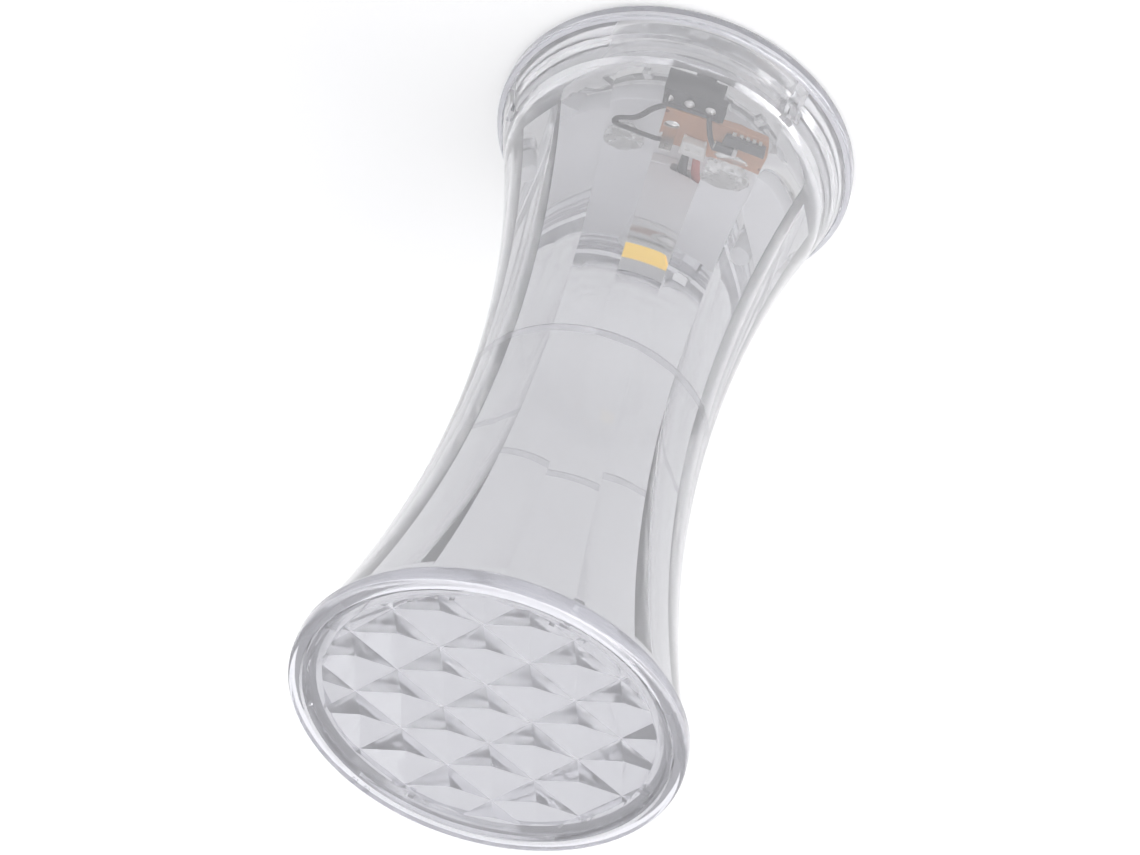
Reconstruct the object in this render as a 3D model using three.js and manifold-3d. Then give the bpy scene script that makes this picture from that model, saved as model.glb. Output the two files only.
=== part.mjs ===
// A small clear bedside lamp: an hourglass of two moulded halves with flutes inside, a faceted plate in its
// upper mouth, and a battery light engine on the base plate in its lower mouth.
// Millimetres, +Z up. The origin is the middle of the base, at the level of the table. The front is -Y.

import * as THREE from 'three';
import { mergeVertices } from 'three/addons/utils/BufferGeometryUtils.js';
import Module from 'manifold-3d';

const wasm = await Module();
wasm.setup();

// Fineness of round shapes, in sides and steps.
const bodySides = 64;
const partSides = 36;
const smallSides = 16;
const flareSteps = 10;
const roundingSteps = 3;
const sliver = 0.003;

// The hourglass.
const height = 100;
const waistRadius = 15.3;
const lipHeight = 2.4;
const lipOverhang = 0.7;
const lipRoundingShare = 0.85;
const wall = 2.2;

// The flat flutes inside the wall, as seen from above.
const fluteCount = 16;
const fluteTurn = 8.4;
const fluteFoot = 9.4;
const fluteHead = 2.8;

// The joint at the waist: a tongue on the lower half stands in a rebate of the upper half.
const seamGap = 0.2;
const tongueLength = 1.6;
const fitGap = 0.25;
const stackGap = 0.1;
const overrun = 1;

// The lower mouth steps in twice, and three upright keys cross its rings.
const mouthWall = 1.43;
const mouthStep = 3.4;
const mouthDepth = 6.6;
const keyAngle = 246.2;
const keyWidth = 2;
const keyDepth = 1.1;
const keyCount = 3;

// The upper mouth and the faceted plate.
const plateSeatWall = 0.77;
const plateSeatDepth = 2.8;
const plateRecess = 0.15;
const collarWidth = 0.75;
const collarHeight = 0.35;
const collarChamfer = 0.25;
const patternBorder = 2.12;
const patternSkin = 1;
const pyramidPitch = 7.44;
const pyramidHeight = 1.85;
const pyramidLand = 0.03;
const pyramidTurn = 58.5;
const lugAngle = 15;
const lugCount = 4;
const lugWidth = 0.7;
const lugDepth = 0.8;

// The base plate.
const baseLift = 0.8;
const baseThickness = 1.6;
const skirtWall = 1.2;
const skirtGroove = 0.35;
const skirtGrooveFoot = 4.2;
const skirtGrooveHead = 5;

// The battery door and its bayonet.
const doorBorder = 0.06;
const doorGap = 0.3;
const drumWall = 1.25;
const drumHeight = 1.5;
const bayonetAngle = 220;
const bayonetCount = 3;
const bayonetReach = 1.6;
const bayonetHalfAngle = 10;
const bayonetPlay = 2;
const unlockAngle = 32;
const stopAngle = 3.5;
const coinSlotLength = 14;
const coinSlotWidth = 2;
const coinSlotDepth = 0.8;

// The button cells and their contacts.
const cellRadius = 5.8;
const cellHeight = 3.1;
const cellSpacing = 0.5;
const cellCount = 3;
const cellTurn = 90;
const cellCanShare = 0.78;
const cellStep = 0.6;
const cellStepInset = 0.5;
const contactThickness = 0.25;
const contactWidth = 3.6;
const contactRise = 0.6;
const contactTip = 2.2;

// The white housing of the cells, with the post that lifts the light source.
const housingWall = 1.1;
const wellGap = 0.35;
const wellHub = 3;
const roofThickness = 1.2;
const housingLift = 0.35;
const pillarAngles = [24, 144];
const pillarRadius = 1.6;
const pillarHeight = 3.2;
const pillarWeb = 2;
const postRadius = 4.8;
const postWall = 0.8;
const postHeight = 12;
const postBossHeight = 0.5;
const windowX = -1.7;
const windowWidth = 2.4;
const windowFoot = 0.9;
const windowHeight = 1.2;

// The screws from below into the pillars.
const screwRadius = 0.7;
const screwBoreGap = 0.15;
const screwHeadRadius = 1.5;
const screwHeadHeight = 0.9;
const screwLength = 5.2;
const screwSlotWidth = 0.4;
const screwSlotDepth = 0.4;
const bossWall = 1.1;

// The light source on the post.
const ledBoardInset = 0.1;
const ledBoardThickness = 0.8;
const ledWidth = 2.8;
const ledLength = 3.5;
const ledHeight = 0.7;
const ledX = -0.6;
const ledWindowWidth = 2.1;
const ledWindowLength = 2.9;
const ledWindowDepth = 0.35;
const ledWindowCorner = 0.4;
const leadHoleInset = 0.6;
const leadHoleAngle = 62;
const leadHoleGap = 0.15;

// The driver board in front of the post, and what is soldered to it.
const boardThickness = 1.2;
const boardLeft = -10.4;
const boardRight = 2.4;
const boardPostGap = 3.4;
const boardSwitchGap = 0.35;
const boardEdge = 0.4;
const chipLength = 4.4;
const chipWidth = 1.6;
const chipHeight = 0.9;
const chipX = -8;
const chipPins = 5;
const chipPinWidth = 0.4;
const chipPinReach = 0.35;
const dropSteps = 4;
const resistorLength = 2.4;
const resistorWidth = 1.3;
const resistorHeight = 0.6;
const resistorCap = 0.4;
const resistorCapRise = 0.1;
const resistorX = -6.2;
const connectorLength = 2.2;
const connectorWidth = 2.4;
const connectorHeight = 1.3;
const connectorX = -1.7;
const connectorPostGap = 3.5;
const connectorRib = 0.3;
const solderRadius = 0.6;
const solderHeight = 0.4;
const solderSteps = 3;
const padRadius = 0.7;
const padX = -3.65;
const padGap = 0.1;
const wirePadX = 0.9;
const leadRadius = 0.32;
const leadSpacing = 0.9;
const leadSides = 8;
const leadSteps = 16;
const leadLift = 0.65;
const tabWidth = 1.2;
const tabX = 0.8;
const tabGap = 0.9;
const tabRise = 4.9;
const tabSolderRadius = 0.75;
const pinRadius = 0.6;

// Drops of clear glue: on the housing at the right, on the driver board, and behind the board.
const rightGlueLength = 2.8;
const rightGlueWidth = 5.2;
const rightGlueHeight = 1.5;
const rightGlueX = 6.3;
const rightGlueY = -6.2;
const boardGlueLength = 3;
const boardGlueWidth = 1.4;
const boardGlueHeight = 0.8;
const boardGlueX = -7.2;
const backGlueLength = 3.4;
const backGlueWidth = 5;
const backGlueHeight = 1.9;
const backGlueX = -7.2;
const glueBoardGap = 0.3;

// The slide switch in front of the driver board, and the two wires between them.
const switchLength = 7.4;
const switchFlangeReach = 4.4;
const switchFlangeWidth = 3;
const switchFlangeThickness = 1.2;
const switchWidth = 3.2;
const switchHeight = 4;
const switchWellDepth = 1.2;
const knobLength = 2;
const knobWidth = 1.4;
const knobTravel = 2;
const knobGap = 0.3;
const knobFloorGap = 0.7;
const knobDoorGap = 0.45;
const knobTipLength = 2.8;
const knobTipHeight = 1;
const terminalCount = 3;
const terminalPitch = 2.5;
const terminalRadius = 0.3;
const terminalLength = 1.5;
const shortWireRise = 0.6;
const loopReach = 5.1;
const loopDepth = 5;
const loopWidth = 1.7;

// Radii of the light engine and the base, from the cells out to the wall of the lower mouth.
const cellCircle = (2 * cellRadius + cellSpacing) / (2 * Math.sin(Math.PI / cellCount));
const wellRadius = cellRadius + wellGap;
const housingRadius = cellCircle + wellRadius + housingWall;
const doorRadius = housingRadius + doorBorder;
const drumInside = doorRadius - drumWall;
const doorHole = doorRadius + doorGap;
const bayonetRadius = doorRadius + bayonetReach;
const bayonetHole = bayonetRadius + doorGap;
const screwCircle = doorHole + screwHeadRadius + 2 * fitGap;
const pillarBore = screwRadius + screwBoreGap;
const bossRadius = pillarBore + bossWall;
const skirtInside = screwCircle + bossRadius + fitGap;
const skirtRadius = skirtInside + skirtWall;
const mouthRadius = skirtRadius + fitGap;

// Profile of the hourglass: one circular arc through the waist and the wall of the lower mouth.
const middle = height / 2;
const arcHalf = middle - mouthDepth;
const arcRise = mouthRadius + mouthWall - waistRadius;
const arcRadius = (arcHalf ** 2 + arcRise ** 2) / (2 * arcRise);
const outsideAt = (z) => waistRadius + arcRadius - Math.sqrt(arcRadius ** 2 - (z - middle) ** 2);
const flareRadius = outsideAt(lipHeight);
const rimRadius = flareRadius + lipOverhang;
const lipRounding = lipOverhang * lipRoundingShare;
const fluteAt = (z) => outsideAt(z) - wall;
const fluteCorner = 1 / Math.cos(Math.PI / fluteCount);
const lowerBore = fluteAt(fluteFoot);
const upperBore = fluteAt(height - fluteHead);
const tongueRadius = (fluteAt(middle) * fluteCorner + waistRadius - fitGap) / 2;
const mouthRimRadius = outsideAt(mouthStep) - mouthWall;
const plateSeatRadius = flareRadius - plateSeatWall;
const plateRadius = plateSeatRadius - fitGap;
const patternRadius = plateRadius - patternBorder;

// Levels of the base and the light engine, from the table up.
const baseTop = baseLift + baseThickness;
const drumTop = baseTop + drumHeight;
const doorContactFoot = baseTop + stackGap;
const doorContactTop = doorContactFoot + contactThickness;
const cellFoot = doorContactTop + contactRise + stackGap;
const cellTop = cellFoot + cellHeight;
const topContactFoot = cellTop + stackGap;
const roofFoot = topContactFoot + contactThickness + stackGap;
const roofTop = roofFoot + roofThickness;
const housingFoot = drumTop + housingLift;
const postFoot = roofTop + stackGap;
const postTop = postFoot + postHeight;
const postInside = postRadius - postWall;
const leadHoleCircle = postInside - leadHoleInset;
const ledBoardRadius = postRadius - ledBoardInset;
const ledBoardFoot = postTop + stackGap;
const ledBoardTop = ledBoardFoot + ledBoardThickness;
const ledFoot = ledBoardTop + stackGap;
const boardFoot = roofTop + stackGap;
const boardTop = boardFoot + boardThickness;
const boardBack = -(postRadius + boardPostGap);
const switchTop = boardTop;
const switchFoot = switchTop - switchHeight;
const switchY = -(doorHole + knobDoorGap + knobGap + knobWidth / 2);
const switchFront = switchY - switchWidth / 2;
const switchBack = switchFront + switchFlangeWidth;
const boardFront = switchBack + boardSwitchGap;
const knobTop = switchFoot + switchWellDepth - fitGap;
const knobX = -knobTravel / 2;
const connectorY = -(postRadius + connectorPostGap + connectorWidth / 2);
const connectorFront = connectorY - connectorWidth / 2;
const padY = connectorFront - padGap;
const tabY = connectorFront - tabGap;
const chipY = boardFront + boardEdge + chipPinReach + chipWidth / 2;
const boardGlueY = boardBack - boardEdge - boardGlueWidth / 2;
const backGlueY = boardBack + glueBoardGap + backGlueWidth / 2;

const radians = THREE.MathUtils.degToRad;
function around(radius, degrees) {
  const angle = radians(degrees);
  return [radius * Math.cos(angle), radius * Math.sin(angle)];
}
const evenly = (count, first) => Array.from({ length: count }, (_, i) => first + (i * 360) / count);

const leadHoleX = around(leadHoleCircle, leadHoleAngle)[0];
const leadHoleY = -around(leadHoleCircle, leadHoleAngle)[1];

// Solids to join or cut.
function solid(geometry) {
  geometry.deleteAttribute('normal');
  geometry.deleteAttribute('uv');
  const merged = mergeVertices(geometry);
  return new wasm.Manifold(
    new wasm.Mesh({
      numProp: 3,
      vertProperties: merged.attributes.position.array,
      triVerts: new Uint32Array(merged.index.array),
    }),
  );
}

function shaped(part) {
  const mesh = part.simplify(sliver).getMesh();
  const geometry = new THREE.BufferGeometry();
  geometry.setAttribute('position', new THREE.BufferAttribute(new Float32Array(mesh.vertProperties), 3));
  geometry.setIndex(new THREE.BufferAttribute(new Uint32Array(mesh.triVerts), 1));
  return geometry.toNonIndexed();
}

// A solid turned about the Z axis from an outline of [radius, height] points that runs upwards on its outside.
function turned(outline, sides = partSides, firstCorner = 0) {
  const points = outline.map(([r, z]) => new THREE.Vector2(r, z));
  return solid(new THREE.LatheGeometry(points, sides, radians(firstCorner)).rotateX(Math.PI / 2));
}

function rod(radius, foot, top, x = 0, y = 0, sides = partSides) {
  const geometry = new THREE.CylinderGeometry(radius, radius, top - foot, sides);
  return solid(geometry.rotateX(Math.PI / 2).translate(x, y, (top + foot) / 2));
}

function block(length, width, foot, top, x = 0, y = 0, turn = 0) {
  const geometry = new THREE.BoxGeometry(length, width, top - foot);
  return solid(geometry.translate(x, y, (top + foot) / 2).rotateZ(radians(turn)));
}

// A piece of a ring between two angles.
function sector(inside, outside, foot, top, from, to) {
  const shape = new THREE.Shape();
  shape.absarc(0, 0, outside, radians(from), radians(to), false);
  shape.absarc(0, 0, inside, radians(to), radians(from), true);
  const geometry = new THREE.ExtrudeGeometry(shape, {
    depth: top - foot,
    bevelEnabled: false,
    curveSegments: smallSides,
  });
  return solid(geometry.translate(0, 0, foot));
}

function joined(parts) {
  return parts.reduce((whole, part) => whole.add(part));
}

function cutBy(part, tools) {
  return part.subtract(joined(tools));
}

// A dome with a flat foot, such as a drop of solder.
function dome(radius, rise, foot, x, y, steps) {
  const outline = [[0, foot]];
  for (let i = 0; i <= steps; i += 1) {
    const angle = (i / steps) * (Math.PI / 2);
    outline.push([radius * Math.cos(angle), foot + rise * Math.sin(angle)]);
  }
  return turned(outline, smallSides).translate([x, y, 0]);
}

// A drop that has spread further in one direction.
function longDrop(length, width, rise, foot, x, y) {
  const drop = dome(width / 2, rise, foot, 0, 0, dropSteps);
  return drop.scale([length / width, 1, 1]).translate([x, y, 0]);
}

// Materials.
function finish(color, roughness, metalness = 0) {
  return new THREE.MeshStandardMaterial({ color, roughness, metalness });
}
const clearPlastic = new THREE.MeshStandardMaterial({
  color: 0xf3f3f7,
  roughness: 0.05,
  metalness: 0,
  transparent: true,
  opacity: 0.35,
});
const whitePlastic = finish(0xeeeef2, 0.45);
const ledWhite = finish(0xf2f2ee, 0.4);
const phosphor = finish(0xffe696, 0.5);
const brownLaminate = finish(0xb9784f, 0.6);
const blackResin = finish(0x2a2a2e, 0.5);
const nickel = finish(0xc9c9c6, 0.3, 1);
const solderTin = finish(0xc4c2bd, 0.35, 1);
const clearGlue = new THREE.MeshStandardMaterial({
  color: 0xeeeee8,
  roughness: 0.2,
  metalness: 0,
  transparent: true,
  opacity: 0.6,
});
const redLead = finish(0x9c3a2c, 0.5);
const blackLead = finish(0x26262a, 0.5);
const screwSteel = finish(0xb4b4b8, 0.35, 1);

const lamp = new THREE.Group();

function piece(name, part, material) {
  const mesh = new THREE.Mesh(shaped(part), material);
  mesh.name = name;
  lamp.add(mesh);
}

// Outline of one half of the hourglass, from the middle of its outer end to the waist.
function halfOutline(seam) {
  const outline = [[0, 0]];
  const corner = rimRadius - lipRounding;
  for (let i = 0; i <= roundingSteps; i += 1) {
    const angle = (i / roundingSteps) * (Math.PI / 2);
    outline.push([corner + lipRounding * Math.sin(angle), lipRounding * (1 - Math.cos(angle))]);
  }
  for (let i = 0; i <= roundingSteps; i += 1) {
    const angle = (i / roundingSteps) * (Math.PI / 2);
    outline.push([corner + lipRounding * Math.cos(angle), lipHeight - lipRounding * (1 - Math.sin(angle))]);
  }
  for (let i = 0; i <= flareSteps; i += 1) {
    const z = lipHeight + (i / flareSteps) * (seam - lipHeight);
    outline.push([outsideAt(z), z]);
  }
  return outline;
}

const upsideDown = (outline) => outline.map(([r, z]) => [r, height - z]).reverse();

// The fluted hollow: a core with flat sides, held to a round bore near each mouth.
function flutedHollow(bore) {
  const core = [[0, -overrun]];
  const rings = 2 * flareSteps;
  for (let i = 0; i <= rings; i += 1) {
    const z = (i / rings) * height;
    core.push([fluteAt(z) * fluteCorner, z]);
  }
  core.push([0, height]);
  return turned(core, fluteCount, fluteTurn).intersect(rod(bore, 0, height, 0, 0, bodySides));
}

const bodyHalf = (outline) => turned(outline, bodySides);

// Lower half, with the stepped mouth, three keys and the tongue.
const lowerOutline = halfOutline(middle - seamGap);
const tongueTop = middle + tongueLength;
lowerOutline.push([tongueRadius, middle - seamGap], [tongueRadius, tongueTop], [0, tongueTop]);
const lowerMouth = rod(mouthRimRadius, -overrun, mouthStep, 0, 0, bodySides).add(
  rod(mouthRadius, -overrun, mouthDepth, 0, 0, bodySides),
);
const keys = evenly(keyCount, keyAngle).map((angle) => {
  const inner = mouthRadius - keyDepth;
  const outer = mouthRimRadius + mouthWall / 2;
  return block(outer - inner, keyWidth, baseLift, mouthDepth + mouthWall / 2, (outer + inner) / 2, 0, angle);
});
const lowerShell = bodyHalf(lowerOutline).subtract(flutedHollow(lowerBore)).subtract(lowerMouth);
const keyRoom = bodyHalf(halfOutline(middle - seamGap).concat([[0, middle - seamGap]]));
piece('lower_shell', lowerShell.add(joined(keys).intersect(keyRoom)), clearPlastic);

// Upper half, with the rebate at the waist and the seat of the faceted plate.
const upperOutline = [[0, middle], ...upsideDown(halfOutline(middle))];
const rebate = rod(tongueRadius + fitGap, middle - overrun, tongueTop + fitGap, 0, 0, bodySides);
const seatLevel = height - plateSeatDepth;
const plateSeat = rod(plateSeatRadius, seatLevel, height + overrun, 0, 0, bodySides);
const lugInside = patternRadius + fitGap;
const lugOutside = plateSeatRadius - collarWidth;
const lugPlace = (lugOutside + lugInside) / 2;
const lugNotches = evenly(lugCount, lugAngle).map((angle) => {
  const width = lugWidth + 2 * fitGap;
  const foot = seatLevel - lugDepth - stackGap;
  return block(lugOutside - lugInside + 2 * fitGap, width, foot, height, lugPlace, 0, angle);
});
piece(
  'upper_shell',
  cutBy(bodyHalf(upperOutline), [flutedHollow(upperBore), rebate, plateSeat, ...lugNotches]),
  clearPlastic,
);

// Faceted plate: flat outside, with square pyramids that point down into the lamp.
const plateTop = height - plateRecess;
const plateFace = plateTop - collarHeight;
const plateFoot = seatLevel + stackGap;
const patternFoot = plateFace - patternSkin;

function pyramidField() {
  const reach = Math.ceil(patternRadius / pyramidPitch);
  const cone = new THREE.ConeGeometry(pyramidPitch * Math.SQRT1_2, pyramidHeight, 4, 1);
  const field = [];
  for (let i = -reach; i <= reach; i += 1) {
    for (let j = -reach; j <= reach; j += 1) {
      const one = cone.clone().rotateX(-Math.PI / 2).rotateZ(Math.PI / 4);
      one.translate(i * pyramidPitch, j * pyramidPitch, patternFoot + pyramidLand - pyramidHeight / 2);
      field.push(solid(one.rotateZ(radians(pyramidTurn))));
    }
  }
  return joined(field);
}

const collarInside = plateRadius - collarWidth;
const plateBlank = turned(
  [
    [0, plateFoot],
    [plateRadius, plateFoot],
    [plateRadius, plateTop],
    [collarInside + collarChamfer, plateTop],
    [collarInside, plateFace],
    [0, plateFace],
  ],
  bodySides,
);
const patternPocket = rod(patternRadius, plateFoot - overrun, patternFoot, 0, 0, bodySides);
const patternRoom = rod(patternRadius - pyramidLand, patternFoot - pyramidHeight, plateFace, 0, 0, bodySides);
const plateLugs = evenly(lugCount, lugAngle).map((angle) =>
  block(lugOutside - lugInside, lugWidth, seatLevel - lugDepth, patternFoot, lugPlace, 0, angle),
);
piece(
  'diamond_plate',
  plateBlank.subtract(patternPocket).add(pyramidField().intersect(patternRoom)).add(joined(plateLugs)),
  clearPlastic,
);

// Clear base plate: a flange and a grooved skirt in the stepped mouth, with the door's hole in the middle.
const skirtTop = mouthDepth - fitGap;
const flangeTop = mouthStep - fitGap;
const basePlate = turned(
  [
    [0, baseLift],
    [mouthRimRadius - fitGap, baseLift],
    [mouthRimRadius - fitGap, flangeTop],
    [skirtRadius, flangeTop],
    [skirtRadius, skirtGrooveFoot],
    [skirtRadius - skirtGroove, skirtGrooveFoot],
    [skirtRadius - skirtGroove, skirtGrooveHead],
    [skirtRadius, skirtGrooveHead],
    [skirtRadius, skirtTop],
    [skirtInside, skirtTop],
    [skirtInside, baseTop],
    [0, baseTop],
  ],
  bodySides,
);
const bayonetAngles = evenly(bayonetCount, bayonetAngle);
const bossTop = housingFoot - stackGap;
const stops = bayonetAngles.flatMap((angle) => {
  const locked = angle + bayonetHalfAngle + bayonetPlay;
  const open = angle - unlockAngle - bayonetHalfAngle - bayonetPlay;
  return [
    sector(doorHole + fitGap, bayonetHole, baseTop - stackGap, drumTop, locked, locked + stopAngle),
    sector(doorHole + fitGap, bayonetHole, baseTop - stackGap, drumTop, open - stopAngle, open),
  ];
});
const screwPlaces = pillarAngles.map((angle) => around(screwCircle, angle));
const bosses = screwPlaces.map(([x, y]) =>
  rod(bossRadius, baseTop - stackGap, bossTop, x, y, smallSides),
);
const screwSeat = baseLift + screwHeadHeight + stackGap;
const screwTip = baseLift + screwHeadHeight + screwLength;
const knobSlack = knobTravel + 2 * knobGap;
const baseCuts = [
  rod(doorHole, -overrun, bossTop + overrun, 0, 0, bodySides),
  ...bayonetAngles.map((angle) => {
    const open = angle - unlockAngle;
    const half = bayonetHalfAngle + bayonetPlay;
    return sector(doorHole - overrun, bayonetHole, -overrun, baseTop + fitGap, open - half, open + half);
  }),
  ...screwPlaces.map(([x, y]) => rod(pillarBore, -overrun, bossTop + overrun, x, y, smallSides)),
  ...screwPlaces.map(([x, y]) => rod(screwHeadRadius + fitGap, -overrun, screwSeat, x, y, smallSides)),
  ...evenly(keyCount, keyAngle).map((angle) => {
    const inner = mouthRadius - keyDepth - fitGap;
    const outer = mouthRimRadius + overrun;
    return block(outer - inner, keyWidth + 2 * fitGap, -overrun, height, (outer + inner) / 2, 0, angle);
  }),
  block(knobTipLength + knobSlack, knobWidth + 2 * knobGap, -overrun, baseTop + overrun, 0, switchY),
];
piece('base_plate', cutBy(joined([basePlate, ...stops, ...bosses]), baseCuts), clearPlastic);

// Battery door: a disc with a coin slot and a drum whose three lugs turn in over the base plate.
const doorDisc = turned([
  [0, baseLift],
  [doorRadius, baseLift],
  [doorRadius, drumTop],
  [drumInside, drumTop],
  [drumInside, baseTop],
  [0, baseTop],
]);
const bayonetLugs = bayonetAngles.map((angle) =>
  sector(
    doorRadius - drumWall / 2,
    bayonetRadius,
    baseTop + fitGap,
    drumTop,
    angle - bayonetHalfAngle,
    angle + bayonetHalfAngle,
  ),
);
const coinSlot = block(coinSlotLength, coinSlotWidth, -overrun, baseLift + coinSlotDepth);
piece('battery_door', joined([doorDisc, ...bayonetLugs]).subtract(coinSlot), clearPlastic);

// White housing: three joined wells for the cells, two screw pillars and a round boss for the post.
const cellAngles = evenly(cellCount, cellTurn);
const cellPlaces = cellAngles.map((angle) => around(cellCircle, angle));
const pillars = pillarAngles.flatMap((angle) => [
  rod(pillarRadius, housingFoot, housingFoot + pillarHeight, ...around(screwCircle, angle), smallSides),
  block(
    screwCircle - housingRadius + housingWall,
    pillarWeb,
    housingFoot,
    housingFoot + pillarHeight,
    (screwCircle + housingRadius - housingWall) / 2,
    0,
    angle,
  ),
]);
const postBoss = rod(postInside - fitGap, roofTop - stackGap, roofTop + postBossHeight);
const housingBody = joined([rod(housingRadius, housingFoot, roofTop), postBoss, ...pillars]);
const wells = cellPlaces.map(([x, y]) => rod(wellRadius, housingFoot - overrun, roofFoot, x, y));
const [backCell, leftCell, rightCell] = cellPlaces;

// A flat strip with round ends between two places.
function strip(from, to, width, foot, top) {
  const run = [to[0] - from[0], to[1] - from[1]];
  const turn = THREE.MathUtils.radToDeg(Math.atan2(run[1], run[0]));
  const along = block(Math.hypot(...run), width, foot, top);
  const straight = along.rotate([0, 0, turn]).translate([(from[0] + to[0]) / 2, (from[1] + to[1]) / 2, 0]);
  const ends = [from, to].map(([x, y]) => rod(width / 2, foot, top, x, y, smallSides));
  return joined([straight, ...ends]);
}

const housingCuts = [
  ...wells,
  strip(backCell, rightCell, contactWidth + 2 * fitGap, topContactFoot - fitGap, roofFoot),
  strip(leftCell, [tabX, tabY], tabWidth + 2 * fitGap, topContactFoot - fitGap, roofFoot),
  rod(wellHub, housingFoot - overrun, roofFoot),
  rod(pinRadius + fitGap, roofFoot - overrun, roofTop + postBossHeight + overrun, 0, 0, smallSides),
  block(
    tabWidth + 2 * fitGap,
    contactThickness + 2 * fitGap,
    roofFoot - overrun,
    roofTop + overrun,
    tabX,
    tabY,
  ),
  ...screwPlaces.map(([x, y]) =>
    rod(pillarBore, housingFoot - overrun, screwTip + stackGap, x, y, smallSides),
  ),
];
piece('cell_housing', cutBy(housingBody, housingCuts), whitePlastic);

// Post: an upright white sleeve over the roof's boss, with a window for the leads and a closed top.
const postWindow = block(
  windowWidth,
  postRadius,
  postFoot + windowFoot,
  postFoot + windowFoot + windowHeight,
  windowX,
  -postRadius,
);
const leadHoles = (foot, top) =>
  [-1, 1].map((side) => rod(leadRadius + leadHoleGap, foot, top, side * leadHoleX, leadHoleY, smallSides));
const postCuts = [
  rod(postInside, postFoot - overrun, postTop - postWall),
  postWindow,
  ...leadHoles(postTop - postWall - overrun, postTop + overrun),
];
piece('light_post', cutBy(rod(postRadius, postFoot, postTop), postCuts), whitePlastic);

// Light source: a round white board, a surface-mounted package and its yellow window.
const ledBoard = cutBy(
  rod(ledBoardRadius, ledBoardFoot, ledBoardTop),
  leadHoles(ledBoardFoot - overrun, ledBoardTop + overrun),
);
piece('led_board', ledBoard, ledWhite);

function roundedBlock(length, width, corner, foot, top) {
  const x = length / 2;
  const y = width / 2;
  const shape = new THREE.Shape();
  shape.absarc(x - corner, y - corner, corner, 0, Math.PI / 2, false);
  shape.absarc(corner - x, y - corner, corner, Math.PI / 2, Math.PI, false);
  shape.absarc(corner - x, corner - y, corner, Math.PI, 1.5 * Math.PI, false);
  shape.absarc(x - corner, corner - y, corner, 1.5 * Math.PI, 2 * Math.PI, false);
  const options = { depth: top - foot, bevelEnabled: false, curveSegments: roundingSteps };
  return solid(new THREE.ExtrudeGeometry(shape, options).translate(0, 0, foot));
}

const ledTop = ledFoot + ledHeight;
const ledPocketFoot = ledTop - ledWindowDepth;
const ledPlace = [ledX, 0, 0];
const ledPocket = roundedBlock(
  ledWindowWidth,
  ledWindowLength,
  ledWindowCorner,
  ledPocketFoot,
  ledTop + overrun,
);
const ledFilling = roundedBlock(
  ledWindowWidth - stackGap,
  ledWindowLength - stackGap,
  ledWindowCorner,
  ledPocketFoot + stackGap / 2,
  ledTop - stackGap / 2,
);
const ledBlock = block(ledWidth, ledLength, ledFoot, ledTop);
piece('led_package', ledBlock.subtract(ledPocket).translate(ledPlace), ledWhite);
piece('led_phosphor', ledFilling.translate(ledPlace), phosphor);

// Driver board: brown laminate on the roof, with a slot for the contact tab.
const boardBlank = block(
  boardRight - boardLeft,
  boardBack - boardFront,
  boardFoot,
  boardTop,
  (boardLeft + boardRight) / 2,
  (boardBack + boardFront) / 2,
);
const tabSlot = block(
  tabWidth + fitGap,
  contactThickness + fitGap,
  boardFoot - overrun,
  boardTop + overrun,
  tabX,
  tabY,
);
piece('driver_board', boardBlank.subtract(tabSlot), brownLaminate);
const onBoard = boardTop + stackGap;

// Control chip: a flat black package with a row of pins along each side.
const chipBody = block(chipLength, chipWidth, onBoard, onBoard + chipHeight, chipX, chipY);
const chipLegs = Array.from({ length: chipPins }, (_, i) => {
  const x = chipX + ((i + 1) / (chipPins + 1) - 1 / 2) * chipLength;
  return block(chipPinWidth, chipWidth + 2 * chipPinReach, onBoard, onBoard + chipHeight / 2, x, chipY);
});
piece('control_chip', joined([chipBody, ...chipLegs]), blackResin);

// Chip resistor: a flat ceramic body with a tinned cap round each end.
const resistorTop = onBoard + resistorHeight;
const resistorBody = block(resistorLength, resistorWidth, onBoard, resistorTop, resistorX, padY);
const resistorCaps = [-1, 1].map((side) =>
  block(
    resistorCap,
    resistorWidth + 2 * resistorCapRise,
    onBoard,
    resistorTop + resistorCapRise,
    resistorX + (side * (resistorLength - resistorCap)) / 2,
    padY,
  ),
);
piece('current_resistor', joined([resistorBody, ...resistorCaps]), blackResin);

// Plug block of the two leads: a white shell with a rib along each end and a hole for each lead.
const connectorTop = onBoard + connectorHeight;
const leadLevel = onBoard + leadLift;
const leadXs = [-1, 1].map((side) => connectorX + (side * leadSpacing) / 2);
const connectorRibs = [-1, 1].map((side) =>
  block(
    connectorRib,
    connectorWidth + connectorRib,
    onBoard,
    onBoard + connectorHeight / 2,
    connectorX + (side * (connectorLength - connectorRib)) / 2,
    connectorY,
  ),
);
const connectorBlock = block(connectorLength, connectorWidth, onBoard, connectorTop, connectorX, connectorY);
const connectorBack = connectorY + connectorWidth / 2;
const leadBores = leadXs.map((x) => {
  const radius = leadRadius + leadHoleGap;
  const bore = new THREE.CylinderGeometry(radius, radius, connectorWidth, smallSides);
  return solid(bore.translate(x, connectorBack, leadLevel));
});
piece(
  'lead_connector',
  cutBy(
    joined([connectorBlock, ...connectorRibs]),
    leadBores,
  ),
  whitePlastic,
);

// A round wire along a smooth route.
function wire(places) {
  const ring = new THREE.Shape();
  ring.absarc(0, 0, leadRadius, 0, 2 * Math.PI, false);
  const extrudePath = new THREE.CatmullRomCurve3(places.map((place) => new THREE.Vector3(...place)));
  const options = { steps: leadSteps, curveSegments: leadSides, extrudePath, bevelEnabled: false };
  return solid(new THREE.ExtrudeGeometry(ring, options));
}

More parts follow.
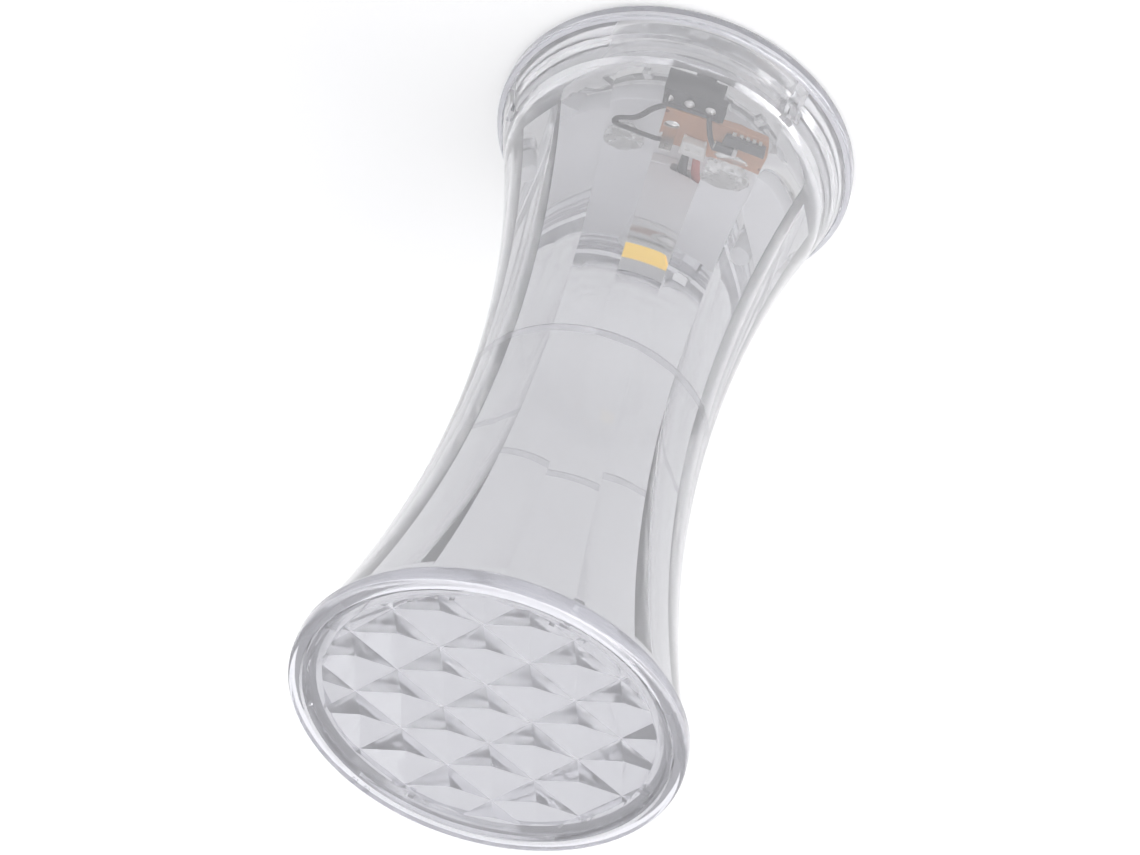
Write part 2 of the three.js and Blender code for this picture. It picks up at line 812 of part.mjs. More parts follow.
// Two insulated leads: out of the plug, through the window and up the post to the light source.
function lead(startX, side) {
  const endX = side * leadHoleX;
  const start = connectorBack - connectorWidth / 4;
  const crossing = windowX + (side * leadSpacing) / 2;
  const windowLevel = postFoot + windowFoot + windowHeight / 2;
  return wire([
    [startX, start, leadLevel],
    [startX, connectorBack + leadRadius, leadLevel],
    [crossing, -postRadius, windowLevel],
    [crossing, leadHoleY, windowLevel],
    [(crossing + endX) / 2, leadHoleY, windowLevel + windowHeight],
    [endX, leadHoleY, postFoot + postHeight / 2 + windowHeight],
    [endX, leadHoleY, postTop - 2 * postWall],
    [endX, leadHoleY, ledBoardTop],
  ]);
}
piece('lead_wire_red', lead(leadXs[0], -1), redLead);
piece('lead_wire_black', lead(leadXs[1], 1), blackLead);

// Drops of solder: on the switch's terminals, on the board's pads, on the contact tab and on the lead ends.
const firstTerminal = (-(terminalCount - 1) * terminalPitch) / 2;
const terminalXs = Array.from({ length: terminalCount }, (_, i) => firstTerminal + i * terminalPitch);
terminalXs.forEach((x, i) => {
  const drop = dome(solderRadius, solderHeight, onBoard, x, switchY, solderSteps);
  piece(`terminal_solder_${i + 1}`, drop, solderTin);
});
piece('pad_solder_1', dome(padRadius, solderHeight, onBoard, padX, padY, solderSteps), solderTin);
piece(
  'pad_solder_2',
  dome(solderRadius, solderHeight, onBoard, wirePadX, connectorY, solderSteps),
  solderTin,
);
const tabCut = block(
  tabWidth + 2 * stackGap,
  contactThickness + 2 * stackGap,
  boardTop,
  boardTop + tabRise,
  tabX,
  tabY,
);
piece(
  'tab_solder',
  dome(tabSolderRadius, solderHeight, onBoard, tabX, tabY, solderSteps).subtract(tabCut),
  solderTin,
);
[-1, 1].forEach((side, i) => {
  const foot = ledBoardTop + stackGap;
  const drop = dome(solderRadius, solderHeight, foot, side * leadHoleX, leadHoleY, solderSteps);
  piece(`lead_solder_${i + 1}`, drop, solderTin);
});

// Wires of the switch: a short one from its left terminal to the board, and one from its right terminal that
// swings out to the right, turns back and ends on the board beside the plug.
const wireLevel = onBoard + solderHeight + stackGap + leadRadius;
const rightTerminal = terminalXs[terminalCount - 1];
const loopX = rightTerminal + loopReach;
const loopY = switchY + loopDepth;
const shortWire = wire([
  [terminalXs[0], switchY, wireLevel],
  [(terminalXs[0] + padX) / 2, (switchY + padY) / 2, wireLevel + shortWireRise],
  [padX, padY, wireLevel],
]);
const longWire = wire([
  [rightTerminal, switchY, wireLevel],
  [rightTerminal + loopReach / 3, switchY + loopDepth / 3, wireLevel],
  [rightTerminal + (2 * loopReach) / 3, loopY - loopWidth / 3, wireLevel],
  [loopX, loopY + loopWidth / 2, wireLevel],
  [rightTerminal + (2 * loopReach) / 3, loopY + loopWidth, wireLevel],
  [rightTerminal, loopY + loopWidth, wireLevel],
  [wirePadX, connectorY, wireLevel],
]);
piece('switch_wire_1', shortWire, blackLead);
piece('switch_wire_2', longWire, blackLead);

// Clear glue, left by hand on the housing and on the driver board.
const onRoof = roofTop + stackGap;
const rightGlue = longDrop(rightGlueLength, rightGlueWidth, rightGlueHeight, onRoof, rightGlueX, rightGlueY);
const boardGlue = longDrop(boardGlueLength, boardGlueWidth, boardGlueHeight, onBoard, boardGlueX, boardGlueY);
const backGlue = longDrop(backGlueLength, backGlueWidth, backGlueHeight, onRoof, backGlueX, backGlueY);
[rightGlue, boardGlue, backGlue].forEach((drop, i) => {
  piece(`glue_drop_${i + 1}`, drop, clearGlue);
});

// Slide switch: a black body with a flange level with the board, three terminals, and a knob that reaches down
// through the base.
const switchWell = block(
  knobLength + knobSlack,
  knobWidth + 2 * fitGap,
  switchFoot - overrun,
  switchFoot + switchWellDepth,
  0,
  switchY,
);
const switchFlange = block(
  switchFlangeReach + switchLength / 2,
  switchFlangeWidth,
  switchTop - switchFlangeThickness,
  switchTop,
  (switchLength / 2 - switchFlangeReach) / 2,
  (switchFront + switchBack) / 2,
);
const switchCase = block(switchLength, switchWidth, switchFoot, switchTop, 0, switchY).add(switchFlange);
const switchRoom = rod(fluteAt(switchTop) - fitGap, switchFoot, switchTop, 0, 0, bodySides);
const terminalFoot = switchTop - terminalLength;
const terminalBores = terminalXs.map((x) =>
  rod(terminalRadius + stackGap, terminalFoot - stackGap, switchTop + overrun, x, switchY, smallSides),
);
piece('switch_body', cutBy(switchCase.intersect(switchRoom), [switchWell, ...terminalBores]), blackResin);
terminalXs.forEach((x, i) => {
  const pin = rod(terminalRadius, terminalFoot, switchTop, x, switchY, smallSides);
  piece(`switch_terminal_${i + 1}`, pin, nickel);
});
const knobStem = block(knobLength, knobWidth, knobFloorGap + knobTipHeight / 2, knobTop, knobX, switchY);
const knobTip = block(knobTipLength, knobWidth, knobFloorGap, knobFloorGap + knobTipHeight, knobX, switchY);
piece('switch_knob', knobStem.add(knobTip), blackResin);

// Button cells: a can with a smaller cap, which is the negative side. The back cell stands the other way up.
cellPlaces.forEach(([x, y], i) => {
  const cell = turned([
    [0, cellFoot],
    [cellRadius * cellCanShare, cellFoot],
    [cellRadius * cellCanShare, cellFoot + cellStep],
    [cellRadius - cellStepInset, cellFoot + cellStep],
    [cellRadius, cellFoot + cellStep + cellStepInset],
    [cellRadius, cellTop],
    [0, cellTop],
  ]);
  const upright = i === 0 ? cell.mirror([0, 0, 1]).translate([0, 0, cellFoot + cellTop]) : cell;
  piece(`button_cell_${i + 1}`, upright.translate([x, y, 0]), nickel);
});

// Contacts above the cells: one with a soldered tab, one that links the other two cells.
const topContactTop = topContactFoot + contactThickness;
const tab = block(tabWidth, contactThickness, topContactFoot, boardTop + tabRise, tabX, tabY);
const tabLink = strip(leftCell, [tabX, tabY], tabWidth, topContactFoot, topContactTop);
piece(
  'positive_contact',
  joined([rod(contactWidth / 2, topContactFoot, topContactTop, ...leftCell, smallSides), tabLink, tab]),
  nickel,
);
piece('top_link_contact', strip(backCell, rightCell, contactWidth, topContactFoot, topContactTop), nickel);

// Contacts on the door: each plate carries a raised spring tip under every cell that it serves.
function springTip([x, y]) {
  return rod(contactTip / 2, doorContactFoot, doorContactTop + contactRise, x, y, smallSides);
}
piece(
  'door_link_contact',
  joined([
    strip(leftCell, backCell, contactWidth, doorContactFoot, doorContactTop),
    springTip(leftCell),
    springTip(backCell),
  ]),
  nickel,
);
piece(
  'door_end_contact',
  joined([strip([0, 0], rightCell, contactTip, doorContactFoot, doorContactTop), springTip(rightCell)]),
  nickel,
);

// Middle pin: carries the last cell's pole from the door's contact up into the post.
const pinTop = roofTop + postBossHeight + contactRise;
piece('centre_pin', rod(pinRadius, doorContactTop + stackGap, pinTop, 0, 0, smallSides), nickel);

// Two screws from below, with slotted heads.
screwPlaces.forEach(([x, y], i) => {
  const headTop = baseLift + screwHeadHeight;
  const slot = block(2 * screwHeadRadius + overrun, screwSlotWidth, -overrun, baseLift + screwSlotDepth);
  const screw = joined([
    rod(screwHeadRadius, baseLift, headTop, 0, 0, smallSides),
    rod(screwRadius, headTop - stackGap, screwTip, 0, 0, smallSides),
  ]);
  piece(`base_screw_${i + 1}`, screw.subtract(slot).translate([x, y, 0]), screwSteel);
});

export default lamp;
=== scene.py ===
import bpy
from math import atan2, cos, hypot, pi, radians, sin, sqrt
from mathutils import Matrix, Vector


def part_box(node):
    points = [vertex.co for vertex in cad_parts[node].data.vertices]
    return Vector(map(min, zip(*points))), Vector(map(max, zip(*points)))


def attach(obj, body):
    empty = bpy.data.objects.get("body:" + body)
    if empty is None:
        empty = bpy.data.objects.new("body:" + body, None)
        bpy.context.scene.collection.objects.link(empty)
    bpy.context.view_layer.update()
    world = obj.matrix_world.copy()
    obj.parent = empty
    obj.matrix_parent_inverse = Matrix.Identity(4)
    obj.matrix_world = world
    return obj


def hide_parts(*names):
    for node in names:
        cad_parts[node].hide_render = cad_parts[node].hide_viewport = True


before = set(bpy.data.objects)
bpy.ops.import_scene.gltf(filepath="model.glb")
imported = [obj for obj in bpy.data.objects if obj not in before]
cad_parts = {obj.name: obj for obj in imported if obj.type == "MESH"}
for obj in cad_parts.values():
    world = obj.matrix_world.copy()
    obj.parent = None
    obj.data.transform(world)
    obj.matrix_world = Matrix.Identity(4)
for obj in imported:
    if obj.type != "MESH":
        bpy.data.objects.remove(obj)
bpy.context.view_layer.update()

# Camera: above and in front of the lamp, rolled so that the lamp's top points to the lower left of the
# picture. Its place, roll and lens are those of the photograph.
bpy.ops.object.camera_add()
camera = bpy.context.object
camera.name = "camera"
camera.data.lens = 133.25
camera.data.sensor_width = 36
camera.data.clip_start = 0.01
camera.data.clip_end = 20
camera.matrix_world = Matrix((
    (-0.94837, 0.31717, 0.0, 0.00146),
    (-0.21138, -0.63205, -0.74554, -0.3846),
    (-0.23646, -0.70705, 0.66646, 0.3968),
    (0, 0, 0, 1),
))
bpy.context.scene.camera = camera

# Studio: a wide pale floor that runs out of view, an even pale world and one broad soft lamp overhead.
# The picture's colours stay plain, and light may pass through every wall of the clear lamp. From below, the
# floor is see-through, so that the lamp's underside can be looked at.
bpy.context.scene.view_settings.view_transform = "Standard"
bpy.context.scene.cycles.max_bounces = 24
bpy.context.scene.cycles.transmission_bounces = 24
bpy.context.scene.cycles.glossy_bounces = 8
bpy.context.scene.cycles.diffuse_bounces = 6

bpy.ops.mesh.primitive_plane_add(size=6, location=(0, 0, -0.0002))
floor = bpy.context.object
floor.name = "floor"
bpy.ops.object.transform_apply()
floor_paint = bpy.data.materials.new("floor_paper")
floor_paint.use_nodes = True
nodes = floor_paint.node_tree.nodes
links = floor_paint.node_tree.links
paper = nodes["Principled BSDF"]
paper.inputs["Base Color"].default_value = (0.6, 0.6, 0.6, 1)
paper.inputs["Roughness"].default_value = 0.9
paper.inputs["Specular IOR Level"].default_value = 0
ray = nodes.new("ShaderNodeLightPath")
seen = nodes.new("ShaderNodeMath")
seen.operation = "ADD"
seen.use_clamp = True
links.new(ray.outputs["Is Camera Ray"], seen.inputs[0])
mirrored = nodes.new("ShaderNodeMath")
mirrored.operation = "ADD"
mirrored.use_clamp = True
links.new(ray.outputs["Is Glossy Ray"], mirrored.inputs[0])
links.new(ray.outputs["Is Transmission Ray"], mirrored.inputs[1])
links.new(mirrored.outputs[0], seen.inputs[1])
lift = nodes.new("ShaderNodeMath")
lift.operation = "MULTIPLY"
lift.inputs[1].default_value = 0.42
links.new(seen.outputs[0], lift.inputs[0])
paper.inputs["Emission Color"].default_value = (1, 1, 1, 1)
links.new(lift.outputs[0], paper.inputs["Emission Strength"])
underside = nodes.new("ShaderNodeNewGeometry")
see_through = nodes.new("ShaderNodeBsdfTransparent")
sheet = nodes.new("ShaderNodeMixShader")
links.new(underside.outputs["Backfacing"], sheet.inputs["Fac"])
links.new(paper.outputs["BSDF"], sheet.inputs[1])
links.new(see_through.outputs["BSDF"], sheet.inputs[2])
links.new(sheet.outputs["Shader"], nodes["Material Output"].inputs["Surface"])
floor.data.materials.append(floor_paint)

world = bpy.data.worlds.new("studio")
world.use_nodes = True
bpy.context.scene.world = world
nodes = world.node_tree.nodes
links = world.node_tree.links
sky = nodes["Background"]
sky.inputs["Color"].default_value = (0.97, 0.97, 1.0, 1)
ray = nodes.new("ShaderNodeLightPath")
seen = nodes.new("ShaderNodeMath")
seen.operation = "MAXIMUM"
links.new(ray.outputs["Is Glossy Ray"], seen.inputs[0])
links.new(ray.outputs["Is Transmission Ray"], seen.inputs[1])
shown = nodes.new("ShaderNodeMath")
shown.operation = "MAXIMUM"
links.new(ray.outputs["Is Camera Ray"], shown.inputs[0])
links.new(seen.outputs[0], shown.inputs[1])
level = nodes.new("ShaderNodeMapRange")
level.inputs["To Min"].default_value = 0.9
level.inputs["To Max"].default_value = 1
links.new(shown.outputs[0], level.inputs["Value"])
links.new(level.outputs["Result"], sky.inputs["Strength"])

bpy.ops.object.light_add(type="AREA", location=(-0.5, -0.2, 1.1))
soft_box = bpy.context.object
soft_box.name = "soft_box"
soft_box.data.shape = "RECTANGLE"
soft_box.data.size = 0.9
soft_box.data.size_y = 0.7
soft_box.data.energy = 5.5
soft_box.rotation_euler = (Vector((0, 0, 0.05)) - soft_box.location).to_track_quat("-Z", "Y").to_euler()


# Lower shell: the lower half of the hourglass, injection moulded in clear plastic, with sixteen flat flutes
# inside and a stepped mouth with three keys below. It stands on its lip. The tongue that joins it to the upper
# half at the waist isn't shown here.
def deselect():
    bpy.ops.object.select_all(action="DESELECT")


def choose(piece):
    """Makes a piece the active one and the only one that is selected."""
    deselect()
    piece.select_set(True)
    bpy.context.view_layer.objects.active = piece


def turned(name, outline, sides, turn=0.0):
    """A closed solid whose rings go up through an outline of (radius, height)."""
    deselect()
    radius, level = outline[0]
    bpy.ops.mesh.primitive_circle_add(vertices=sides, radius=radius, fill_type="NGON",
                                      location=(0, 0, level), rotation=(0, 0, turn))
    piece = bpy.context.object
    piece.name = name
    piece.data.name = name
    bpy.ops.object.transform_apply()
    bpy.ops.object.mode_set(mode="EDIT")
    bpy.ops.mesh.select_all(action="SELECT")
    for next_radius, next_level in outline[1:]:
        bpy.ops.mesh.extrude_region_move(TRANSFORM_OT_translate={"value": (0, 0, next_level - level)})
        share = next_radius / radius
        bpy.ops.transform.resize(value=(share, share, 1))
        radius, level = next_radius, next_level
    bpy.ops.mesh.select_all(action="SELECT")
    bpy.ops.mesh.normals_make_consistent(inside=False)
    bpy.ops.object.mode_set(mode="OBJECT")
    return piece


def box(name, low, high, turn=0.0):
    """A block between two corners, turned about the lamp's axis."""
    deselect()
    middle = [(a + b) / 2 for a, b in zip(low, high)]
    bpy.ops.mesh.primitive_cube_add(size=1, location=middle, scale=[b - a for a, b in zip(low, high)])
    piece = bpy.context.object
    piece.name = name
    piece.data.name = name
    bpy.ops.object.transform_apply()
    bpy.ops.object.mode_set(mode="EDIT")
    bpy.ops.mesh.select_all(action="SELECT")
    bpy.ops.transform.rotate(value=turn, orient_axis="Z", center_override=(0, 0, 0))
    bpy.ops.object.mode_set(mode="OBJECT")
    return piece


def combine(piece, tool, operation):
    """Joins, cuts or intersects a piece with a tool, and takes the tool away."""
    choose(piece)
    bpy.ops.object.modifier_add(type="BOOLEAN")
    change = piece.modifiers[-1]
    change.operation = operation
    change.solver = "EXACT"
    change.object = tool
    bpy.ops.object.modifier_apply(modifier=change.name)
    mesh = tool.data
    bpy.data.objects.remove(tool)
    bpy.data.meshes.remove(mesh)


def smooth(piece, angle=20):
    """Shades a piece smooth, apart from edges sharper than an angle in degrees."""
    choose(piece)
    bpy.ops.object.shade_smooth_by_angle(angle=radians(angle))


def new_paint(name):
    """A new material, with its nodes, its links and its surface."""
    paint = bpy.data.materials.new(name)
    paint.use_nodes = True
    nodes = paint.node_tree.nodes
    return paint, nodes, paint.node_tree.links, nodes["Principled BSDF"]


def noise(nodes, links, place, scale, detail):
    """Cloudy noise."""
    clouds = nodes.new("ShaderNodeTexNoise")
    clouds.inputs["Scale"].default_value = scale
    clouds.inputs["Detail"].default_value = detail
    links.new(place, clouds.inputs["Vector"])
    return clouds.outputs["Fac"]


def two_tones(nodes, links, value, low, low_colour, high, high_colour):
    """A colour that changes from one tone to another while a value rises from low to high."""
    shade = nodes.new("ShaderNodeValToRGB")
    tones = shade.color_ramp.elements
    tones[0].position = low
    tones[0].color = list(low_colour) + [1]
    tones[1].position = high
    tones[1].color = list(high_colour) + [1]
    links.new(value, shade.inputs["Fac"])
    return shade.outputs["Color"]


def make_uneven(nodes, links, shader, rise, strength, distance):
    """Bumps a surface."""
    bump = nodes.new("ShaderNodeBump")
    bump.inputs["Strength"].default_value = strength
    bump.inputs["Distance"].default_value = distance
    links.new(rise, bump.inputs["Height"])
    links.new(bump.outputs["Normal"], shader.inputs["Normal"])


def clear_plastic(name, tint, index, clearness):
    """Polished clear plastic, faintly hazy, with the waves and flow marks of a moulding."""
    paint, nodes, links, shader = new_paint(name)
    shader.inputs["Transmission Weight"].default_value = clearness
    shader.inputs["IOR"].default_value = index
    shader.inputs["Roughness"].default_value = 0.0
    place = nodes.new("ShaderNodeTexCoord").outputs["Object"]
    flow = noise(nodes, links, place, 60, 2)
    tone = two_tones(nodes, links, flow, 0.35, [c * 0.985 for c in tint], 0.65, tint)
    links.new(tone, shader.inputs["Base Color"])
    make_uneven(nodes, links, shader, noise(nodes, links, place, 110, 1), 0.04, 0.0004)
    return paint



height = 0.1
half_height = height / 2
rim = 0.0237
waist = 0.0153
lip = 0.0024
flare = 0.023
lip_round = 0.0006
wall = 0.0022
seam = 0.00003
fit = 0.00025
arc_half = half_height - lip
arc_rise = flare - waist
arc = (arc_half ** 2 + arc_rise ** 2) / (2 * arc_rise)
round_sides = 192
flute_count = 16
flute_turn = radians(8.4)
flute_corner = 1 / cos(pi / flute_count)


def outside(level):
    return waist + arc - sqrt(arc ** 2 - (level - half_height) ** 2)


def flute(level):
    return outside(level) - wall


flutes_top = half_height + 0.0016 + 0.002
mouth_wall = 0.00143
mouth_step = 0.0034
mouth_depth = 0.0066
mouth_rim = outside(mouth_step) - mouth_wall
mouth = outside(mouth_depth) - mouth_wall
lower_bore = flute(0.0094)
key_angles = (246.2, 6.2, 126.2)
key_half_width = 0.001
key_reach = 0.0011
key_root = 0.0007
key_foot = 0.0008


def lip_rings():
    """The rounded lip, from its foot to its top."""
    corner = rim - lip_round
    rings = []
    for i in range(7):
        angle = i / 6 * pi / 2
        rings.append((corner + lip_round * sin(angle), lip_round * (1 - cos(angle))))
    for i in range(7):
        angle = i / 6 * pi / 2
        rings.append((corner + lip_round * cos(angle), lip - lip_round * (1 - sin(angle))))
    return rings


def flutes(name, foot, top, bore, steps=44):
    """The hollow with sixteen flat sides, held to a round bore near the mouth."""
    rings = [(flute(foot + (top - foot) * i / steps) * flute_corner, foot + (top - foot) * i / steps)
             for i in range(steps + 1)]
    hollow = turned(name, rings, flute_count, flute_turn)
    combine(hollow, turned("bore", [(bore, foot - 0.001), (bore, top + 0.001)], round_sides), "INTERSECT")
    return hollow


steps = 40
rings = lip_rings()
levels = [lip + (half_height - seam - lip) * i / steps for i in range(steps + 1)]
rings += [(outside(level), level) for level in levels]
lower_shell = turned("lower_shell_clear", rings, round_sides)
combine(lower_shell, flutes("flutes", 0.0002, flutes_top, lower_bore), "DIFFERENCE")
combine(lower_shell, turned("mouth", [(mouth_rim, -0.001), (mouth_rim, mouth_step), (mouth, mouth_step),
                                      (mouth, mouth_depth)], round_sides), "DIFFERENCE")
for angle in key_angles:
    key = box("key", (mouth - key_reach, -key_half_width, key_foot),
              (mouth_rim + key_root, key_half_width, mouth_depth + key_root), radians(angle))
    combine(lower_shell, key, "UNION")
smooth(lower_shell)
clear = clear_plastic("clear_plastic", (0.98, 0.98, 0.995), 1.49, 0.88)


def painted_shade_plastic(name, tint):
    """The plastic's outside with painted shade: a grey tint, water clear round the foot and greyer towards the
    waist.
    """
    paint = clear_plastic(name, tint, 1.49, 0.8)
    nodes = paint.node_tree.nodes
    links = paint.node_tree.links
    shader = nodes["Principled BSDF"]
    grey = shader.inputs["Base Color"].links[0].from_socket
    place = next(node for node in nodes if node.type == "TEX_COORD")
    axes = nodes.new("ShaderNodeSeparateXYZ")
    links.new(place.outputs["Object"], axes.inputs["Vector"])
    fade = nodes.new("ShaderNodeMapRange")
    fade.interpolation_type = "SMOOTHSTEP"
    fade.inputs["From Min"].default_value = 0.018
    fade.inputs["From Max"].default_value = 0.04
    links.new(axes.outputs["Z"], fade.inputs["Value"])
    mix = nodes.new("ShaderNodeMix")
    mix.data_type = "RGBA"
    mix.inputs["A"].default_value = (0.99, 0.99, 1.0, 1)
    links.new(grey, mix.inputs["B"])
    links.new(fade.outputs["Result"], mix.inputs["Factor"])
    links.new(mix.outputs["Result"], shader.inputs["Base Color"])
    return paint


# Painted shade: this grey tint stands in for the grey surroundings seen through the clear walls.
painted_shade_tint = painted_shade_plastic("painted_shade_plastic", (0.75, 0.75, 0.765))
violet = clear_plastic("rim_plastic", (0.955, 0.955, 1.0), 1.49, 0.78)
skin_depth = 0.0004
gate_mark_depth = 0.00016


def give_painted_shade(piece):
    """Gives a clear wall its painted shade, a faint grey tint on the outside only, and its lip a faint violet.
    """
    piece.data.materials.append(clear)
    piece.data.materials.append(painted_shade_tint)
    piece.data.materials.append(violet)
    for face in piece.data.polygons:
        radius, level = hypot(face.center.x, face.center.y), face.center.z
        flared = lip < level < height - lip
        at_end = level < 0.00004 or level > height - gate_mark_depth
        at_skin = at_end or radius > outside(level) - skin_depth
        face.material_index = (1 if flared else 2) if at_skin else 0


give_painted_shade(lower_shell)
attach(lower_shell, "lamp")
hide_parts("lower_shell")

# Upper shell: the upper half, of the same clear plastic. Its mouth has a round seat for the faceted plate,
# with four notches for the plate's lugs. Two gates left round marks in its lip.
seat = 0.02223
seat_level = height - 0.0028
upper_bore = flute(seat_level)
notch_angles = (15, 105, 195, 285)
notch_inside = 0.01986
notch_outside = 0.02173
notch_half_width = 0.0006
gate_mark = 0.0005
gate_circle = 0.0227
levels = [half_height + seam + (arc_half - seam) * i / steps for i in range(steps + 1)]
rings = [(outside(level), level) for level in levels]
rings += [(r, height - z) for r, z in reversed(lip_rings())]
upper_shell = turned("upper_shell_clear", rings, round_sides)
combine(upper_shell, flutes("flutes", half_height - 0.001, height - 0.0002, upper_bore), "DIFFERENCE")
combine(upper_shell, turned("seat", [(seat, seat_level), (seat, height + 0.001)], round_sides), "DIFFERENCE")
for angle in notch_angles:
    notch = box("notch", (notch_inside, -notch_half_width, seat_level - 0.0009),
                (notch_outside, notch_half_width, height), radians(angle))
    combine(upper_shell, notch, "DIFFERENCE")
for angle in (radians(56.6), radians(61.4)):
    mark = turned("gate_mark", [(gate_mark, height - gate_mark_depth), (gate_mark, height + 0.001)], 24)
    mark.data.transform(Matrix.Translation((gate_circle * cos(angle), gate_circle * sin(angle), 0)))
    combine(upper_shell, mark, "DIFFERENCE")
smooth(upper_shell)
give_painted_shade(upper_shell)
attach(upper_shell, "lamp")
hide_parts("upper_shell")

# Faceted plate: a round clear moulding that lies in the upper mouth. It is flat outside, inside its raised
# collar, and carries square pyramids on its inner side. Four small lugs keep it from turning.
plate = seat - fit
plate_top = height - 0.00015
plate_face = plate_top - 0.00035
collar = plate - 0.00075
pattern = notch_inside
pattern_foot = plate_face - 0.001
pitch = 0.00744
pyramid_height = 0.00185
cells = 7
deselect()
bpy.ops.mesh.primitive_grid_add(x_subdivisions=cells, y_subdivisions=cells, size=cells * pitch,
                                location=(0, 0, pattern_foot), rotation=(0, 0, radians(58.5)))
pyramids = bpy.context.object
pyramids.name = "pyramids"
bpy.ops.object.transform_apply()
bpy.ops.object.mode_set(mode="EDIT")
bpy.ops.mesh.select_all(action="SELECT")
bpy.ops.mesh.extrude_region_move(TRANSFORM_OT_translate={"value": (0, 0, plate_face - pattern_foot)})
bpy.ops.mesh.select_all(action="SELECT")
bpy.ops.mesh.normals_make_consistent(inside=False)
bpy.ops.mesh.select_mode(type="FACE")
bpy.ops.mesh.select_all(action="DESELECT")
bpy.ops.object.mode_set(mode="OBJECT")
for face in pyramids.data.polygons:
    face.select = face.center.z < pattern_foot + 1e-6
bpy.ops.object.mode_set(mode="EDIT")
bpy.ops.mesh.poke(offset=pyramid_height)
bpy.ops.object.mode_set(mode="OBJECT")
room = turned("pattern", [(pattern, pattern_foot - 0.004), (pattern, plate_face + 0.001)], round_sides)
combine(pyramids, room, "INTERSECT")
rings = [(plate, seat_level + 0.0001), (plate, plate_top - 0.0001), (plate - 0.0001, plate_top),
         (collar + 0.00025, plate_top), (collar, plate_face)]
diamond_plate = turned("diamond_plate_clear", rings, round_sides)
pocket = turned("pocket", [(pattern, 0.09), (pattern, height + 0.01)], round_sides)
combine(diamond_plate, pocket, "DIFFERENCE")
combine(diamond_plate, pyramids, "UNION")
for angle in notch_angles:
    lug = box("lug", (notch_inside + fit, fit - notch_half_width, seat_level - 0.0008),
              (notch_outside - fit, notch_half_width - fit, pattern_foot), radians(angle))
    combine(diamond_plate, lug, "UNION")
smooth(diamond_plate)
# Painted shade: the plate's grey tint stands in for the grey surroundings seen through the clear plate.
diamond_plate.data.materials.append(clear_plastic("plate_plastic", (0.84, 0.84, 0.865), 1.49, 0.84))
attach(diamond_plate, "lamp")
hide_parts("diamond_plate")

# Base plate: a clear moulding pushed up into the stepped mouth. Its flange and grooved skirt fit the steps,
# two bosses take the screws, and three slots and six stops guide the lugs of the battery door.
def rod(name, radius, foot, top, x=0.0, y=0.0, sides=48):
    """A round upright bar."""
    deselect()
    bpy.ops.mesh.primitive_cylinder_add(vertices=sides, radius=radius, depth=top - foot,
                                        location=(x, y, (foot + top) / 2))
    piece = bpy.context.object
    piece.name = name
    piece.data.name = name
    bpy.ops.object.transform_apply()
    return piece


def sector(name, inner, outer, foot, top, start, end):
    """A part of a ring between two angles in degrees."""
    piece = turned(name, [(outer, foot), (outer, top)], 144)
    combine(piece, turned("bore", [(inner, foot - 0.001), (inner, top + 0.001)], 144), "DIFFERENCE")
    for angle, side in ((radians(start), 1), (radians(end), -1)):
        bpy.ops.object.mode_set(mode="EDIT")
        bpy.ops.mesh.select_all(action="SELECT")
        bpy.ops.mesh.bisect(plane_co=(0, 0, 0), plane_no=(-sin(angle) * side, cos(angle) * side, 0),
                            use_fill=True, clear_inner=True)
        bpy.ops.object.mode_set(mode="OBJECT")
    return piece


def soften(piece, width, steps=2):
    """Takes the sharpness off all edges."""
    choose(piece)
    bpy.ops.object.modifier_add(type="BEVEL")
    edge = piece.modifiers[-1]
    edge.width = width
    edge.segments = steps
    edge.limit_method = "ANGLE"
    edge.angle_limit = radians(30)
    bpy.ops.object.modifier_apply(modifier=edge.name)


base_lift = 0.0008
base_top = 0.0024
flange_top = mouth_step - fit
skirt = mouth - fit
skirt_inside = skirt - 0.0012
door_hole = 0.014596
bayonet_hole = 0.016196
drum_top = 0.0039
boss_top = 0.00415
screw_circle = 0.016596
screw_angles = (24, 144)
lug_angles = (220, 340, 100)
stop_spans = ((12, 15.5), (-47.5, -44))
slot_span = (-44, -20)
rings = [(mouth_rim - fit, base_lift), (mouth_rim - fit, flange_top), (skirt, flange_top), (skirt, 0.0042),
         (skirt - 0.00035, 0.0042), (skirt - 0.00035, 0.005), (skirt, 0.005), (skirt, mouth_depth - fit)]
base_plate = turned("base_plate_clear", rings, round_sides)
tray = turned("tray", [(skirt_inside, base_top), (skirt_inside, 0.01)], round_sides)
combine(base_plate, tray, "DIFFERENCE")
screw_places = [(screw_circle * cos(radians(a)), screw_circle * sin(radians(a))) for a in screw_angles]
for x, y in screw_places:
    combine(base_plate, rod("boss", 0.00195, base_top - 0.0002, boss_top, x, y), "UNION")
for angle in lug_angles:
    for start, end in stop_spans:
        combine(base_plate, sector("stop", door_hole + fit, bayonet_hole, base_top - 0.0001, drum_top,
                                   angle + start, angle + end), "UNION")
combine(base_plate, rod("door_hole", door_hole, -0.001, 0.006, sides=round_sides), "DIFFERENCE")
for angle in lug_angles:
    combine(base_plate, sector("slot", door_hole - 0.001, bayonet_hole, -0.001, base_top + 0.0002,
                               angle + slot_span[0], angle + slot_span[1]), "DIFFERENCE")
for x, y in screw_places:
    combine(base_plate, rod("screw_hole", 0.00085, -0.001, 0.006, x, y), "DIFFERENCE")
    combine(base_plate, rod("screw_seat", 0.00175, -0.001, 0.0018, x, y), "DIFFERENCE")
for angle in key_angles:
    room = box("key_room", (mouth - key_reach - fit, -key_half_width - fit, -0.001),
               (0.025, key_half_width + fit, 0.01), radians(angle))
    combine(base_plate, room, "DIFFERENCE")
combine(base_plate, box("knob_slot", (-0.0027, -0.01705, -0.001), (0.0027, -0.01505, 0.003)), "DIFFERENCE")
smooth(base_plate)
base_plate.data.materials.append(clear)
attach(base_plate, "lamp")
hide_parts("base_plate")

